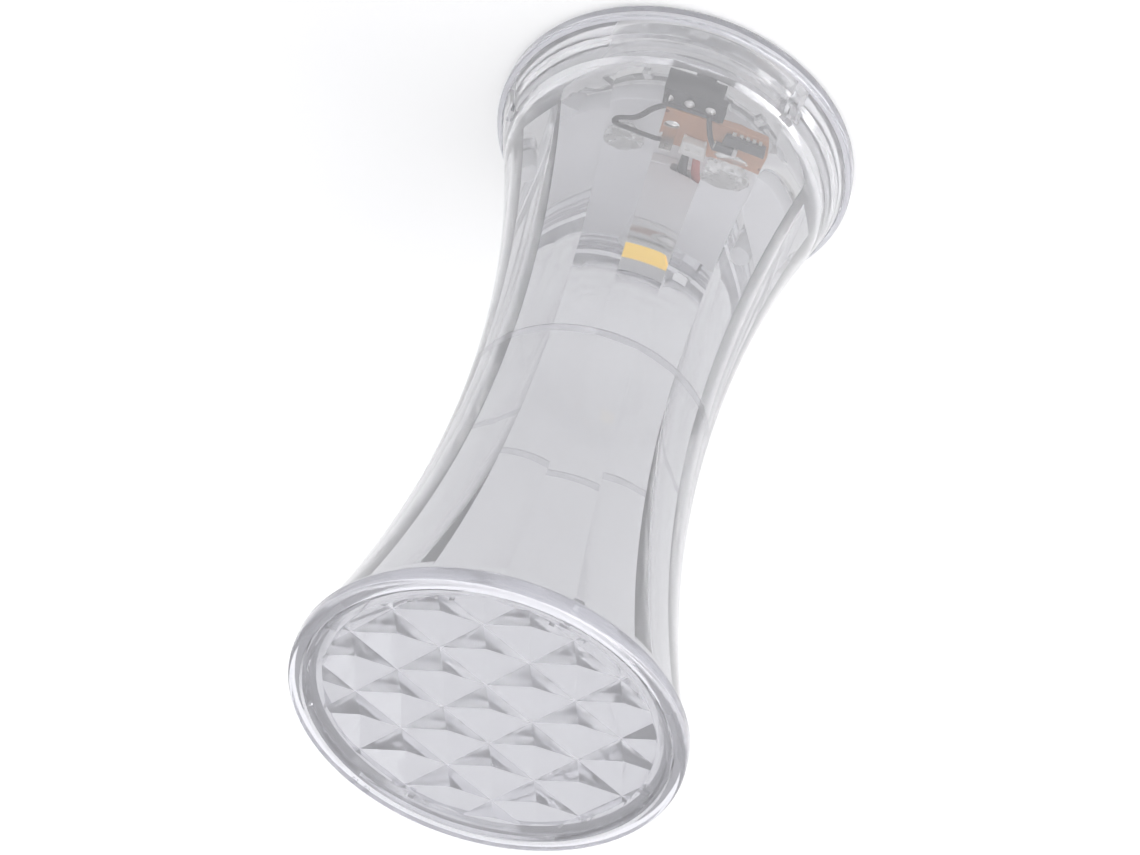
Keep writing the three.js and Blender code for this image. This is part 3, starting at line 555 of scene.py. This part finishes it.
# Battery door: a clear disc with a coin slot below and a short drum above. The drum's three lugs turn in over
# the base plate, so that the door opens with a coin.
door = 0.014296
drum_inside = 0.013046
bayonet = 0.015896
rings = [(door - 0.0002, base_lift), (door, base_lift + 0.0002), (door, drum_top)]
battery_door = turned("battery_door_clear", rings, round_sides)
drum_room = turned("drum", [(drum_inside, base_top), (drum_inside, 0.006)], round_sides)
combine(battery_door, drum_room, "DIFFERENCE")
for angle in lug_angles:
    lug = sector("lug", door - 0.0006, bayonet, base_top + fit, drum_top, angle - 10, angle + 10)
    combine(battery_door, lug, "UNION")
coin_slot = box("coin_slot", (-0.007, -0.001, -0.001), (0.007, 0.001, 0.0016))
soften(coin_slot, 0.00035, 3)
combine(battery_door, coin_slot, "DIFFERENCE")
for i in range(24):
    ridge = box("ridge", (0.0118, -0.00022, base_lift - 0.001), (0.0131, 0.00022, base_lift + 0.00025),
                radians(7.5 + 15 * i))
    combine(battery_door, ridge, "DIFFERENCE")
smooth(battery_door)
battery_door.data.materials.append(clear)
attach(battery_door, "battery_door")
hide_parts("battery_door")


# Housing of the cells: one white moulding with three joined wells under a thin roof, two screw pillars at its
# side and a round boss for the post on top. It stands 0.35 mm over the battery door's drum.
def moulded_plastic(name, colour, roughness, mottle=0.97, grain=0.00002):
    """Opaque moulded plastic: a slightly uneven colour, soft gloss and a fine uneven skin."""
    paint, nodes, links, shader = new_paint(name)
    shader.inputs["Roughness"].default_value = roughness
    place = nodes.new("ShaderNodeTexCoord").outputs["Object"]
    cloud = noise(nodes, links, place, 420, 3)
    tone = two_tones(nodes, links, cloud, 0.3, [c * mottle for c in colour], 0.7, colour)
    links.new(tone, shader.inputs["Base Color"])
    make_uneven(nodes, links, shader, noise(nodes, links, place, 2600, 2), 0.5, grain)
    return paint


def bar(name, start, end, width, foot, top):
    """A flat strip with round ends between two places."""
    run = Vector(end) - Vector(start)
    turn = atan2(run.y, run.x)
    along = box(name, (0, -width / 2, foot), (run.length, width / 2, top), turn)
    bpy.ops.object.mode_set(mode="EDIT")
    bpy.ops.transform.translate(value=(start[0], start[1], 0))
    bpy.ops.object.mode_set(mode="OBJECT")
    for x, y in (start, end):
        combine(along, rod("end", width / 2, foot, top, x, y), "UNION")
    return along


housing_foot = 0.00425
housing = 0.014236
well = 0.00615
roof_foot = 0.007
roof_top = 0.0082
boss_head = 0.0087
pillar_top = 0.00745
post_inside = 0.004
cell_circle = 0.006986
cell_places = [(cell_circle * cos(radians(a)), cell_circle * sin(radians(a))) for a in (90, 210, 330)]
tab_place = (0.0008, -0.0116)
rings = [(housing - 0.0001, housing_foot), (housing, housing_foot + 0.0001), (housing, roof_top - 0.0003),
         (housing - 0.00009, roof_top - 0.00009), (housing - 0.0003, roof_top)]
cell_housing = turned("cell_housing_white", rings, 128)
combine(cell_housing, rod("post_boss", post_inside - fit, roof_top - 0.0002, boss_head), "UNION")
for angle in screw_angles:
    x, y = screw_circle * cos(radians(angle)), screw_circle * sin(radians(angle))
    web = box("web", (housing - 0.0011, -0.001, housing_foot), (screw_circle, 0.001, pillar_top),
              radians(angle))
    combine(cell_housing, web, "UNION")
    combine(cell_housing, rod("pillar", 0.0016, housing_foot, pillar_top, x, y), "UNION")
    combine(cell_housing, rod("pillar_bore", 0.00085, housing_foot - 0.001, 0.007, x, y), "DIFFERENCE")
for x, y in cell_places:
    combine(cell_housing, rod("well", well, housing_foot - 0.001, roof_foot, x, y, 96), "DIFFERENCE")
combine(cell_housing, bar("link_room", cell_places[0], cell_places[2], 0.0041, 0.0064, roof_foot - 0.00001),
        "DIFFERENCE")
combine(cell_housing, bar("tab_room", cell_places[1], tab_place, 0.0017, 0.0064, roof_foot - 0.00002),
        "DIFFERENCE")
combine(cell_housing, rod("hub", 0.003, housing_foot - 0.001, roof_foot - 0.00003), "DIFFERENCE")
combine(cell_housing, rod("pin_hole", 0.00085, 0.006, 0.01), "DIFFERENCE")
tab_slot = box("tab_slot", (-0.00005, -0.011975, 0.006), (0.00165, -0.011225, 0.009))
combine(cell_housing, tab_slot, "DIFFERENCE")
x, y = cell_places[0]
ring_mark = rod("ring_mark", 0.0034, roof_top - 0.00012, 0.009, x, y, 96)
combine(ring_mark, rod("ring_inside", 0.0031, 0.007, 0.01, x, y, 96), "DIFFERENCE")
combine(cell_housing, ring_mark, "DIFFERENCE")
smooth(cell_housing, 30)
white = moulded_plastic("white_plastic", (0.97, 0.97, 0.98), 0.38)
cell_housing.data.materials.append(white)
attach(cell_housing, "lamp")
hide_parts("cell_housing")

# Button cells: nickel-plated steel cans with a rolled shoulder, a dark gasket and a slightly smaller cap. The
# back one stands the other way up.
def plated(name, colour, roughness, scratch=(1, 1, 1), scale=900):
    """Bright plated metal with fine scratches and a little dullness where it was handled."""
    paint, nodes, links, shader = new_paint(name)
    shader.inputs["Metallic"].default_value = 1
    place = nodes.new("ShaderNodeTexCoord")
    stretch = nodes.new("ShaderNodeMapping")
    stretch.inputs["Scale"].default_value = scratch
    links.new(place.outputs["Object"], stretch.inputs["Vector"])
    scratches = noise(nodes, links, stretch.outputs["Vector"], scale, 4)
    tone = two_tones(nodes, links, scratches, 0.3, [c * 0.86 for c in colour], 0.65, colour)
    links.new(tone, shader.inputs["Base Color"])
    dull = nodes.new("ShaderNodeMapRange")
    dull.inputs["To Min"].default_value = roughness * 1.5
    dull.inputs["To Max"].default_value = roughness * 0.6
    links.new(scratches, dull.inputs["Value"])
    links.new(dull.outputs["Result"], shader.inputs["Roughness"])
    make_uneven(nodes, links, shader, scratches, 0.3, 0.00001)
    return paint


def move(piece, x, y):
    """Moves a piece's mesh sideways; its origin stays."""
    choose(piece)
    bpy.ops.object.mode_set(mode="EDIT")
    bpy.ops.mesh.select_all(action="SELECT")
    bpy.ops.transform.translate(value=(x, y, 0))
    bpy.ops.object.mode_set(mode="OBJECT")


nickel = plated("nickel", (0.8, 0.79, 0.77), 0.22)
gasket = moulded_plastic("gasket", (0.08, 0.09, 0.1), 0.5)
cell = 0.0058
cell_height = 0.0031
outline = [(0.0040, 0.0), (0.00428, 0.00006), (0.0044, 0.00018), (0.00446, 0.0005), (0.00462, 0.00064),
           (0.00505, 0.00064), (0.00512, 0.00052), (0.0053, 0.00052), (0.00562, 0.00064), (0.00576, 0.0009),
           (cell, 0.0013), (cell, 0.0028), (0.00573, 0.00296), (0.00562, 0.00304), (0.0054, cell_height)]
for i, (x, y) in enumerate(cell_places):
    name = f"button_cell_{i + 1}"
    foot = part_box(name)[0].z
    if i == 0:
        rings = [(r, foot + cell_height - z) for r, z in reversed(outline)]
    else:
        rings = [(r, foot + z) for r, z in outline]
    button_cell = turned(name + "_plated", rings, 96)
    move(button_cell, x, y)
    smooth(button_cell, 35)
    button_cell.data.materials.append(nickel)
    button_cell.data.materials.append(gasket)
    for face in button_cell.data.polygons:
        rise = face.center.z - foot
        if i == 0:
            rise = cell_height - rise
        radius = hypot(face.center.x - x, face.center.y - y)
        face.material_index = 1 if 0.0046 < radius < 0.0051 and rise < 0.0007 else 0
    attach(button_cell, "lamp")
    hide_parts(name)

# Contacts: strips of nickel-plated spring steel. One links two cells over the wells, one brings a cell's pole
# up to the driver board, two lie on the door, and a pin carries the last pole into the post. The switch's
# three terminals have the same plating.
contact_finish = plated("contact_nickel", (0.82, 0.81, 0.78), 0.25, (1, 6, 1), 500)
for name in ("positive_contact", "top_link_contact", "door_link_contact", "door_end_contact", "centre_pin",
             "switch_terminal_1", "switch_terminal_2", "switch_terminal_3"):
    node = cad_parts[name]
    node.data.materials.clear()
    node.data.materials.append(contact_finish)

# Post: a white sleeve pushed over the roof's boss. A window in its foot lets the leads in, and its closed top
# carries the light source.
post = 0.0048
post_foot = 0.0083
post_top = 0.0203
lead_x = 0.0015962
lead_y = -0.003002
lead_hole = 0.00047
rings = [(post - 0.0001, post_foot), (post, post_foot + 0.0001), (post, 0.0098), (post - 0.00012, 0.0099),
         (post - 0.00012, post_top - 0.0004), (post - 0.0002, post_top - 0.0001), (post - 0.0005, post_top)]
light_post = turned("light_post_white", rings, 96)
combine(light_post, rod("sleeve", post_inside, post_foot - 0.001, post_top - 0.0008, sides=96), "DIFFERENCE")
window = box("window", (-0.0029, -0.0072, 0.0092), (-0.0005, -0.0024, 0.0104))
soften(window, 0.0003, 3)
combine(light_post, window, "DIFFERENCE")
for side in (-1, 1):
    combine(light_post, rod("lead_hole", lead_hole, 0.0185, 0.0213, side * lead_x, lead_y, 24), "DIFFERENCE")
smooth(light_post, 30)
light_post.data.materials.append(white)
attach(light_post, "lamp")
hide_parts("light_post")


# Board of the light source: a round white board with two tinned pads round the lead holes. Flux has browned
# it a little at the front, where it was soldered.
def browned_board(name, colour, stain):
    """White lacquer with an uneven brown stain round the spot where the leads were soldered."""
    paint = moulded_plastic(name, colour, 0.35)
    nodes = paint.node_tree.nodes
    links = paint.node_tree.links
    shader = nodes["Principled BSDF"]
    white_side = shader.inputs["Base Color"].links[0].from_socket
    place = next(node for node in nodes if node.type == "TEX_COORD")
    centre = nodes.new("ShaderNodeMapping")
    centre.inputs["Location"].default_value = (0.0006, 0.0034, -0.0212)
    links.new(place.outputs["Object"], centre.inputs["Vector"])
    squeeze = nodes.new("ShaderNodeVectorMath")
    squeeze.operation = "MULTIPLY"
    squeeze.inputs[1].default_value = (1 / 0.0022, 1 / 0.0009, 1 / 0.002)
    links.new(centre.outputs["Vector"], squeeze.inputs[0])
    span = nodes.new("ShaderNodeVectorMath")
    span.operation = "LENGTH"
    links.new(squeeze.outputs["Vector"], span.inputs[0])
    patches = noise(nodes, links, place.outputs["Object"], 1900, 4)
    edge = nodes.new("ShaderNodeMath")
    edge.operation = "SUBTRACT"
    links.new(patches, edge.inputs[0])
    links.new(span.outputs["Value"], edge.inputs[1])
    amount = nodes.new("ShaderNodeMapRange")
    amount.inputs["From Min"].default_value = -0.5
    amount.inputs["From Max"].default_value = 0.1
    amount.inputs["To Max"].default_value = 0.75
    links.new(edge.outputs[0], amount.inputs["Value"])
    mix = nodes.new("ShaderNodeMix")
    mix.data_type = "RGBA"
    mix.inputs["B"].default_value = list(stain) + [1]
    links.new(amount.outputs["Result"], mix.inputs["Factor"])
    links.new(white_side, mix.inputs["A"])
    links.new(mix.outputs["Result"], shader.inputs["Base Color"])
    return paint


tin = plated("solder_tin", (0.78, 0.77, 0.75), 0.3, (1, 1, 1), 1500)
board_white = browned_board("white_board", (0.94, 0.94, 0.93), (0.5, 0.33, 0.26))
led_foot = 0.0204
led_top = 0.0212
rings = [(0.0046, led_foot), (0.0047, led_foot + 0.0001), (0.0047, led_top - 0.0001), (0.0046, led_top)]
led_board = turned("led_board_white", rings, 96)
for side in (-1, 1):
    pad = rod("pad", 0.0009, led_top - 0.0002, led_top + 0.00004, side * lead_x, lead_y, 32)
    combine(led_board, pad, "UNION")
for side in (-1, 1):
    combine(led_board, rod("lead_hole", lead_hole, 0.02, 0.022, side * lead_x, lead_y, 24), "DIFFERENCE")
smooth(led_board, 30)
led_board.data.materials.append(board_white)
led_board.data.materials.append(tin)
for face in led_board.data.polygons:
    face.material_index = 1 if face.center.z > led_top + 0.00001 else 0
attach(led_board, "lamp")
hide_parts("led_board")

# Light source: a white surface-mounted package with a sloping cup and a tinned foot at each end.
low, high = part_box("led_package")
led_package = box("led_package_white", low, high)
soften(led_package, 0.00012)
middle = (low.x + high.x) / 2
cup = box("cup", (middle - 0.00105, -0.00145, high.z - 0.00035), (middle + 0.00105, 0.00145, high.z + 0.0004))
soften(cup, 0.00035, 4)
combine(led_package, cup, "DIFFERENCE")
mark = rod("corner_mark", 0.00018, high.z - 0.00008, high.z + 0.001, middle + 0.00118, -0.00152, 16)
combine(led_package, mark, "DIFFERENCE")
for side in (-1, 1):
    ends = (high.y - 0.0001, high.y + 0.00018)
    near, far = sorted(side * end for end in ends)
    foot = box("foot", (middle - 0.0009, near, low.z), (middle + 0.0009, far, low.z + 0.00018))
    combine(led_package, foot, "UNION")
smooth(led_package, 30)
led_package.data.materials.append(moulded_plastic("package_white", (0.93, 0.93, 0.9), 0.3))
led_package.data.materials.append(tin)
for face in led_package.data.polygons:
    face.material_index = 1 if abs(face.center.y) > high.y + 0.00001 else 0
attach(led_package, "lamp")
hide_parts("led_package")

# Yellow filling of the cup: clear resin full of yellow phosphor, a little sunk in the middle. Its faint
# glow is painted light, which makes it brighter than the studio light alone would.
low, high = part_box("led_phosphor")
phosphor = box("led_phosphor_yellow", low, high)
soften(phosphor, 0.0003, 4)
dish = turned("dish", [(0.0006, high.z - 0.00004), (0.0012, high.z + 0.00002), (0.0012, high.z + 0.001)], 48)
move(dish, (low.x + high.x) / 2, 0)
combine(phosphor, dish, "DIFFERENCE")
smooth(phosphor, 30)
yellow = moulded_plastic("yellow_phosphor", (1.0, 0.72, 0.12), 0.35, 0.93)
shader = yellow.node_tree.nodes["Principled BSDF"]
# Painted light: this emission brightens the unlit phosphor.
shader.inputs["Emission Color"].default_value = (1.0, 0.62, 0.1, 1)
shader.inputs["Emission Strength"].default_value = 0.6
phosphor.data.materials.append(yellow)
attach(phosphor, "lamp")
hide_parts("led_phosphor")


# Driver board: brown phenolic laminate that lies on the housing's roof in front of the post. Its copper
# tracks show as darker lines through the lacquer, and three small holes go through it.
def laminate(name, colour, dark, track):
    """Brown laminate with darker fibres and tracks."""
    paint = moulded_plastic(name, colour, 0.5, 0.86, 0.00003)
    nodes = paint.node_tree.nodes
    links = paint.node_tree.links
    shader = nodes["Principled BSDF"]
    plain = shader.inputs["Base Color"].links[0].from_socket
    place = next(node for node in nodes if node.type == "TEX_COORD")
    tracks = nodes.new("ShaderNodeTexWave")
    tracks.bands_direction = "DIAGONAL"
    tracks.inputs["Scale"].default_value = 62
    tracks.inputs["Distortion"].default_value = 2.2
    tracks.inputs["Detail"].default_value = 0
    tracks.inputs["Detail Scale"].default_value = 3
    links.new(place.outputs["Object"], tracks.inputs["Vector"])
    lines = two_tones(nodes, links, tracks.outputs["Fac"], 0.52, (0, 0, 0), 0.56, (1, 1, 1))
    fibres = noise(nodes, links, place.outputs["Object"], 1500, 5)
    stain = nodes.new("ShaderNodeMix")
    stain.data_type = "RGBA"
    stain.inputs["B"].default_value = list(dark) + [1]
    links.new(plain, stain.inputs["A"])
    weak = nodes.new("ShaderNodeMath")
    weak.operation = "MULTIPLY"
    weak.inputs[1].default_value = 0.35
    links.new(fibres, weak.inputs[0])
    links.new(weak.outputs[0], stain.inputs["Factor"])
    mix = nodes.new("ShaderNodeMix")
    mix.data_type = "RGBA"
    mix.inputs["B"].default_value = list(track) + [1]
    links.new(stain.outputs["Result"], mix.inputs["A"])
    links.new(lines, mix.inputs["Factor"])
    links.new(mix.outputs["Result"], shader.inputs["Base Color"])
    return paint


low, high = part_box("driver_board")
driver_board = box("driver_board_brown", low, high)
soften(driver_board, 0.00008)
slot = box("tab_slot", (0.000075, -0.01185, low.z - 0.001), (0.001525, -0.01135, high.z + 0.001))
combine(driver_board, slot, "DIFFERENCE")
for x, y in ((-0.0099, -0.0091), (-0.0047, -0.0135), (0.0019, -0.0137)):
    combine(driver_board, rod("hole", 0.00028, low.z - 0.001, high.z + 0.001, x, y, 24), "DIFFERENCE")
smooth(driver_board, 30)
driver_board.data.materials.append(laminate("brown_laminate", (0.68, 0.33, 0.17), (0.5, 0.22, 0.1),
                                            (0.6, 0.27, 0.12)))
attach(driver_board, "lamp")
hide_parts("driver_board")


# Control chip: a flat black package with five tinned pins along each side, soldered flat on the board.
black = moulded_plastic("black_resin", (0.05, 0.05, 0.055), 0.32, 0.7)
low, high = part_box("control_chip")
chip = box("control_chip_black", (low.x, low.y + 0.00035, low.z + 0.00008),
           (high.x, high.y - 0.00035, high.z))
soften(chip, 0.0001)
dot = rod("dot", 0.0002, high.z - 0.00006, high.z + 0.001, low.x + 0.0005, low.y + 0.0008, 16)
combine(chip, dot, "DIFFERENCE")
for i in range(5):
    x = low.x + (i + 1) / 6 * (high.x - low.x)
    pin = box("pin", (x - 0.0002, low.y, low.z), (x + 0.0002, high.y, low.z + 0.00016))
    shoulder = box("shoulder", (x - 0.0002, low.y + 0.00018, low.z),
                   (x + 0.0002, high.y - 0.00018, low.z + 0.00045))
    combine(pin, shoulder, "UNION")
    combine(chip, pin, "UNION")
smooth(chip, 30)
chip.data.materials.append(black)
chip.data.materials.append(tin)
for face in chip.data.polygons:
    face.material_index = 1 if not low.y + 0.00034 < face.center.y < high.y - 0.00034 else 0
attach(chip, "lamp")
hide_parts("control_chip")


# Chip resistor: a flat black ceramic body with a tinned cap round each end.
low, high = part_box("current_resistor")
resistor = box("current_resistor_black", (low.x + 0.0003, low.y + 0.0001, low.z),
               (high.x - 0.0003, high.y - 0.0001, high.z - 0.0001))
soften(resistor, 0.00006)
for near, far in ((low.x, low.x + 0.0004), (high.x - 0.0004, high.x)):
    cap = box("cap", (near, low.y, low.z), (far, high.y, high.z))
    soften(cap, 0.00008)
    combine(resistor, cap, "UNION")
smooth(resistor, 30)
resistor.data.materials.append(black)
resistor.data.materials.append(tin)
for face in resistor.data.polygons:
    end = face.center.x < low.x + 0.00041 or face.center.x > high.x - 0.00041
    face.material_index = 1 if end else 0
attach(resistor, "lamp")
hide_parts("current_resistor")

# Plug block of the leads: a white nylon shell with a rib at each end, two lead holes at the back and two
# latch slots on top.
low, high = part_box("lead_connector")
connector = box("lead_connector_white", (low.x, low.y + 0.00015, low.z), (high.x, high.y - 0.00015, high.z))
soften(connector, 0.00015)
for near, far in ((low.x, low.x + 0.0003), (high.x - 0.0003, high.x)):
    rib = box("rib", (near, low.y, low.z), (far, high.y, low.z + 0.00065))
    soften(rib, 0.0001)
    combine(connector, rib, "UNION")
lead_starts = (-0.00215, -0.00125)
lead_level = 0.01025
for x in lead_starts:
    bore = box("lead_bore", (x - lead_hole, -0.0095, lead_level - lead_hole),
               (x + lead_hole, -0.007, lead_level + lead_hole))
    soften(bore, 0.00025, 3)
    combine(connector, bore, "DIFFERENCE")
    latch = box("latch", (x - 0.00025, -0.0102, high.z - 0.0002), (x + 0.00025, -0.0093, high.z + 0.001))
    soften(latch, 0.0001)
    combine(connector, latch, "DIFFERENCE")
smooth(connector, 30)
connector.data.materials.append(moulded_plastic("plug_white", (0.9, 0.89, 0.86), 0.42))
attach(connector, "lamp")
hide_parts("lead_connector")


# Leads and wires: stranded copper in soft insulation. Red and black go from the plug through the window and
# up the post to the light source, and two black ones join the switch to the board.
def wire(name, node, paint, places, radius=0.00032):
    """A round wire along a smooth route, in the place of a CAD node."""
    deselect()
    bpy.ops.curve.primitive_bezier_curve_add()
    piece = bpy.context.object
    spline = piece.data.splines[0]
    spline.bezier_points.add(len(places) - 2)
    for point, place in zip(spline.bezier_points, places):
        point.co = place
        point.handle_left_type = "AUTO"
        point.handle_right_type = "AUTO"
    piece.data.bevel_depth = radius
    piece.data.bevel_resolution = 4
    piece.data.resolution_u = 7
    piece.data.use_fill_caps = True
    bpy.ops.object.convert(target="MESH")
    piece = bpy.context.object
    piece.name = name
    piece.data.name = name
    bpy.ops.object.mode_set(mode="EDIT")
    bpy.ops.mesh.select_all(action="SELECT")
    bpy.ops.mesh.remove_doubles(threshold=0.000002)
    bpy.ops.mesh.normals_make_consistent(inside=False)
    bpy.ops.object.mode_set(mode="OBJECT")
    smooth(piece, 50)
    piece.data.materials.clear()
    piece.data.materials.append(paint)
    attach(piece, "lamp")
    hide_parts(node)
    return piece


red = moulded_plastic("red_insulation", (0.55, 0.09, 0.06), 0.45, 0.85)
soft_black = moulded_plastic("black_insulation", (0.035, 0.035, 0.04), 0.42, 0.8)
for name, paint, start, side in (("lead_wire_red", red, lead_starts[0], -1),
                                 ("lead_wire_black", soft_black, lead_starts[1], 1)):
    end = side * lead_x
    lead = wire(name + "_soft", name, paint, [
        (start, -0.0089, lead_level), (start, -0.00798, lead_level), (start, -0.0048, 0.0098),
        (start, lead_y, 0.0098), ((start + end) / 2, lead_y, 0.011), (end, lead_y, 0.0155),
        (end, lead_y, 0.0187), (end, lead_y, 0.0212)])
level = 0.01042
short_wire = wire("switch_wire_1_soft", "switch_wire_1", soft_black, [
    (-0.0025, -0.016046, level), (-0.003075, -0.013423, level + 0.0006), (-0.00365, -0.0108, level)])
long_wire = wire("switch_wire_2_soft", "switch_wire_2", soft_black, [
    (0.0025, -0.016046, level), (0.0042, -0.014379, level), (0.0059, -0.011613, level),
    (0.0076, -0.010196, level), (0.0059, -0.009346, level), (0.0025, -0.009346, level),
    (0.0009, -0.0095, level)])

# Solder: bright drops that rise from a wide foot, on the switch's terminals, the board's pads, the contact's
# tab and the ends of the leads.
flux = plated("fluxed_tin", (0.8, 0.62, 0.42), 0.3, (1, 1, 1), 1500)
solder_nodes = ["terminal_solder_1", "terminal_solder_2", "terminal_solder_3", "pad_solder_1", "pad_solder_2",
                "tab_solder", "lead_solder_1", "lead_solder_2"]
for name in solder_nodes:
    low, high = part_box(name)
    radius, rise = (high.x - low.x) / 2, high.z - low.z
    shares = [(1, 0), (0.95, 0.06), (0.84, 0.2), (0.74, 0.42), (0.64, 0.66), (0.48, 0.86), (0.26, 0.97),
              (0.1, 1)]
    bead = turned(name + "_bright", [(radius * r, low.z + rise * z) for r, z in shares], 40)
    move(bead, (low.x + high.x) / 2, (low.y + high.y) / 2)
    if name == "tab_solder":
        combine(bead, box("tab_room", (0.0001, -0.011825, 0.009), (0.0015, -0.011375, 0.016)), "DIFFERENCE")
    smooth(bead, 40)
    bead.data.materials.append(flux if name == "pad_solder_1" else tin)
    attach(bead, "lamp")
    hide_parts(name)

# Clear glue: three uneven drops of hot glue, on the housing, on the driver board and behind the board.
def drop(name, node):
    """A rounded drop that fills the place of a CAD node."""
    low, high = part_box(node)
    span = high - low
    steps = 9
    rings = []
    for i in range(steps + 1):
        angle = i / (steps + 0.6) * pi / 2
        rings.append((span.y / 2 * cos(angle) ** 0.8, low.z + span.z * sin(angle)))
    piece = turned(name, rings, 48)
    choose(piece)
    bpy.ops.object.mode_set(mode="EDIT")
    bpy.ops.mesh.select_all(action="SELECT")
    bpy.ops.transform.resize(value=(span.x / span.y, 1, 1))
    bpy.ops.transform.translate(value=((low.x + high.x) / 2, (low.y + high.y) / 2, 0))
    bpy.ops.object.mode_set(mode="OBJECT")
    return piece


def roughen(piece, size, depth):
    """Makes a drop's surface uneven with a cloudy displacement."""
    choose(piece)
    bpy.ops.object.modifier_add(type="SUBSURF")
    piece.modifiers[-1].levels = 1
    piece.modifiers[-1].render_levels = 1
    bpy.ops.object.modifier_apply(modifier=piece.modifiers[-1].name)
    clouds = bpy.data.textures.new(piece.name, "CLOUDS")
    clouds.noise_scale = size
    bpy.ops.object.modifier_add(type="DISPLACE")
    uneven = piece.modifiers[-1]
    uneven.texture = clouds
    uneven.texture_coords = "LOCAL"
    uneven.strength = depth
    uneven.mid_level = 0.62
    bpy.ops.object.modifier_apply(modifier=uneven.name)
    bpy.data.textures.remove(clouds)


glue_paint = clear_plastic("clear_glue", (0.96, 0.96, 0.94), 1.48, 0.9)
glue_paint.node_tree.nodes["Principled BSDF"].inputs["Roughness"].default_value = 0.12
for name, size, depth in (("glue_drop_1", 0.0011, 0.0008), ("glue_drop_2", 0.0007, 0.0004),
                          ("glue_drop_3", 0.0009, 0.0008)):
    glue = drop(name + "_clear", name)
    roughen(glue, size, depth)
    smooth(glue, 60)
    glue.data.materials.append(glue_paint)
    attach(glue, "lamp")
    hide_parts(name)

# Slide switch: a black moulded body in front of the board. Its flange is level with the board, and a slot in
# its foot lets the knob through.
low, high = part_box("switch_body")
switch_depth = 0.0032
switch_y = (low.y + low.y + switch_depth) / 2
flange_foot = high.z - 0.0012
switch_body = box("switch_body_black", (-0.0037, low.y, low.z), (0.0037, low.y + switch_depth, high.z))
flange = box("flange", (-0.0044, low.y, flange_foot), (-0.003, low.y + 0.003, high.z))
combine(switch_body, flange, "UNION")
case = box("case", (-0.0034, low.y + 0.0006, high.z - 0.0003), (0.0034, high.y - 0.0006, high.z + 0.001))
soften(case, 0.0002)
combine(switch_body, case, "DIFFERENCE")
for x in (-0.0025, 0, 0.0025):
    combine(switch_body, rod("bore", 0.0004, high.z - 0.0016, high.z + 0.001, x, switch_y, 24), "DIFFERENCE")
combine(switch_body, box("knob_well", (-0.0023, switch_y - 0.00095, low.z - 0.001),
                         (0.0023, switch_y + 0.00095, low.z + 0.0012)), "DIFFERENCE")
soften(switch_body, 0.00006, 1)
smooth(switch_body, 30)
switch_body.data.materials.append(black)
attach(switch_body, "lamp")
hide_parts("switch_body")

# Knob of the switch: a black stem that reaches down through the base plate, with a wider ribbed tip.
low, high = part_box("switch_knob")
middle = (low.x + high.x) / 2
knob = box("switch_knob_black", (middle - 0.001, low.y, low.z + 0.0005), (middle + 0.001, high.y, high.z))
tip = box("tip", low, (high.x, high.y, low.z + 0.001))
soften(tip, 0.0002)
combine(knob, tip, "UNION")
for i in range(-2, 3):
    notch = box("notch", (middle + i * 0.0005 - 0.0001, low.y - 0.001, low.z - 0.001),
                (middle + i * 0.0005 + 0.0001, high.y + 0.001, low.z + 0.0002))
    combine(knob, notch, "DIFFERENCE")
smooth(knob, 30)
knob.data.materials.append(black)
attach(knob, "switch_knob")
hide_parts("switch_knob")

# Screws: zinc-plated steel with slotted heads, turned up from below into the housing's pillars.
steel = plated("screw_steel", (0.72, 0.72, 0.74), 0.28, (1, 1, 1), 1200)
for i, (x, y) in enumerate(screw_places):
    rings = [(0.0012, base_lift), (0.00142, base_lift + 0.00012), (0.0015, base_lift + 0.0003),
             (0.0015, base_lift + 0.0009), (0.0007, base_lift + 0.00091)]
    level = base_lift + 0.0011
    while level < 0.0066:
        rings += [(0.00058, level), (0.0007, level + 0.00012), (0.0007, level + 0.00018),
                  (0.00058, level + 0.0003)]
        level += 0.0004
    rings.append((0.0003, 0.0069))
    screw = turned(f"base_screw_{i + 1}_steel", rings, 40)
    combine(screw, box("slot", (-0.002, -0.0002, -0.001), (0.002, 0.0002, base_lift + 0.0004)), "DIFFERENCE")
    move(screw, x, y)
    smooth(screw, 30)
    screw.data.materials.append(steel)
    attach(screw, "lamp")
    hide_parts(f"base_screw_{i + 1}")
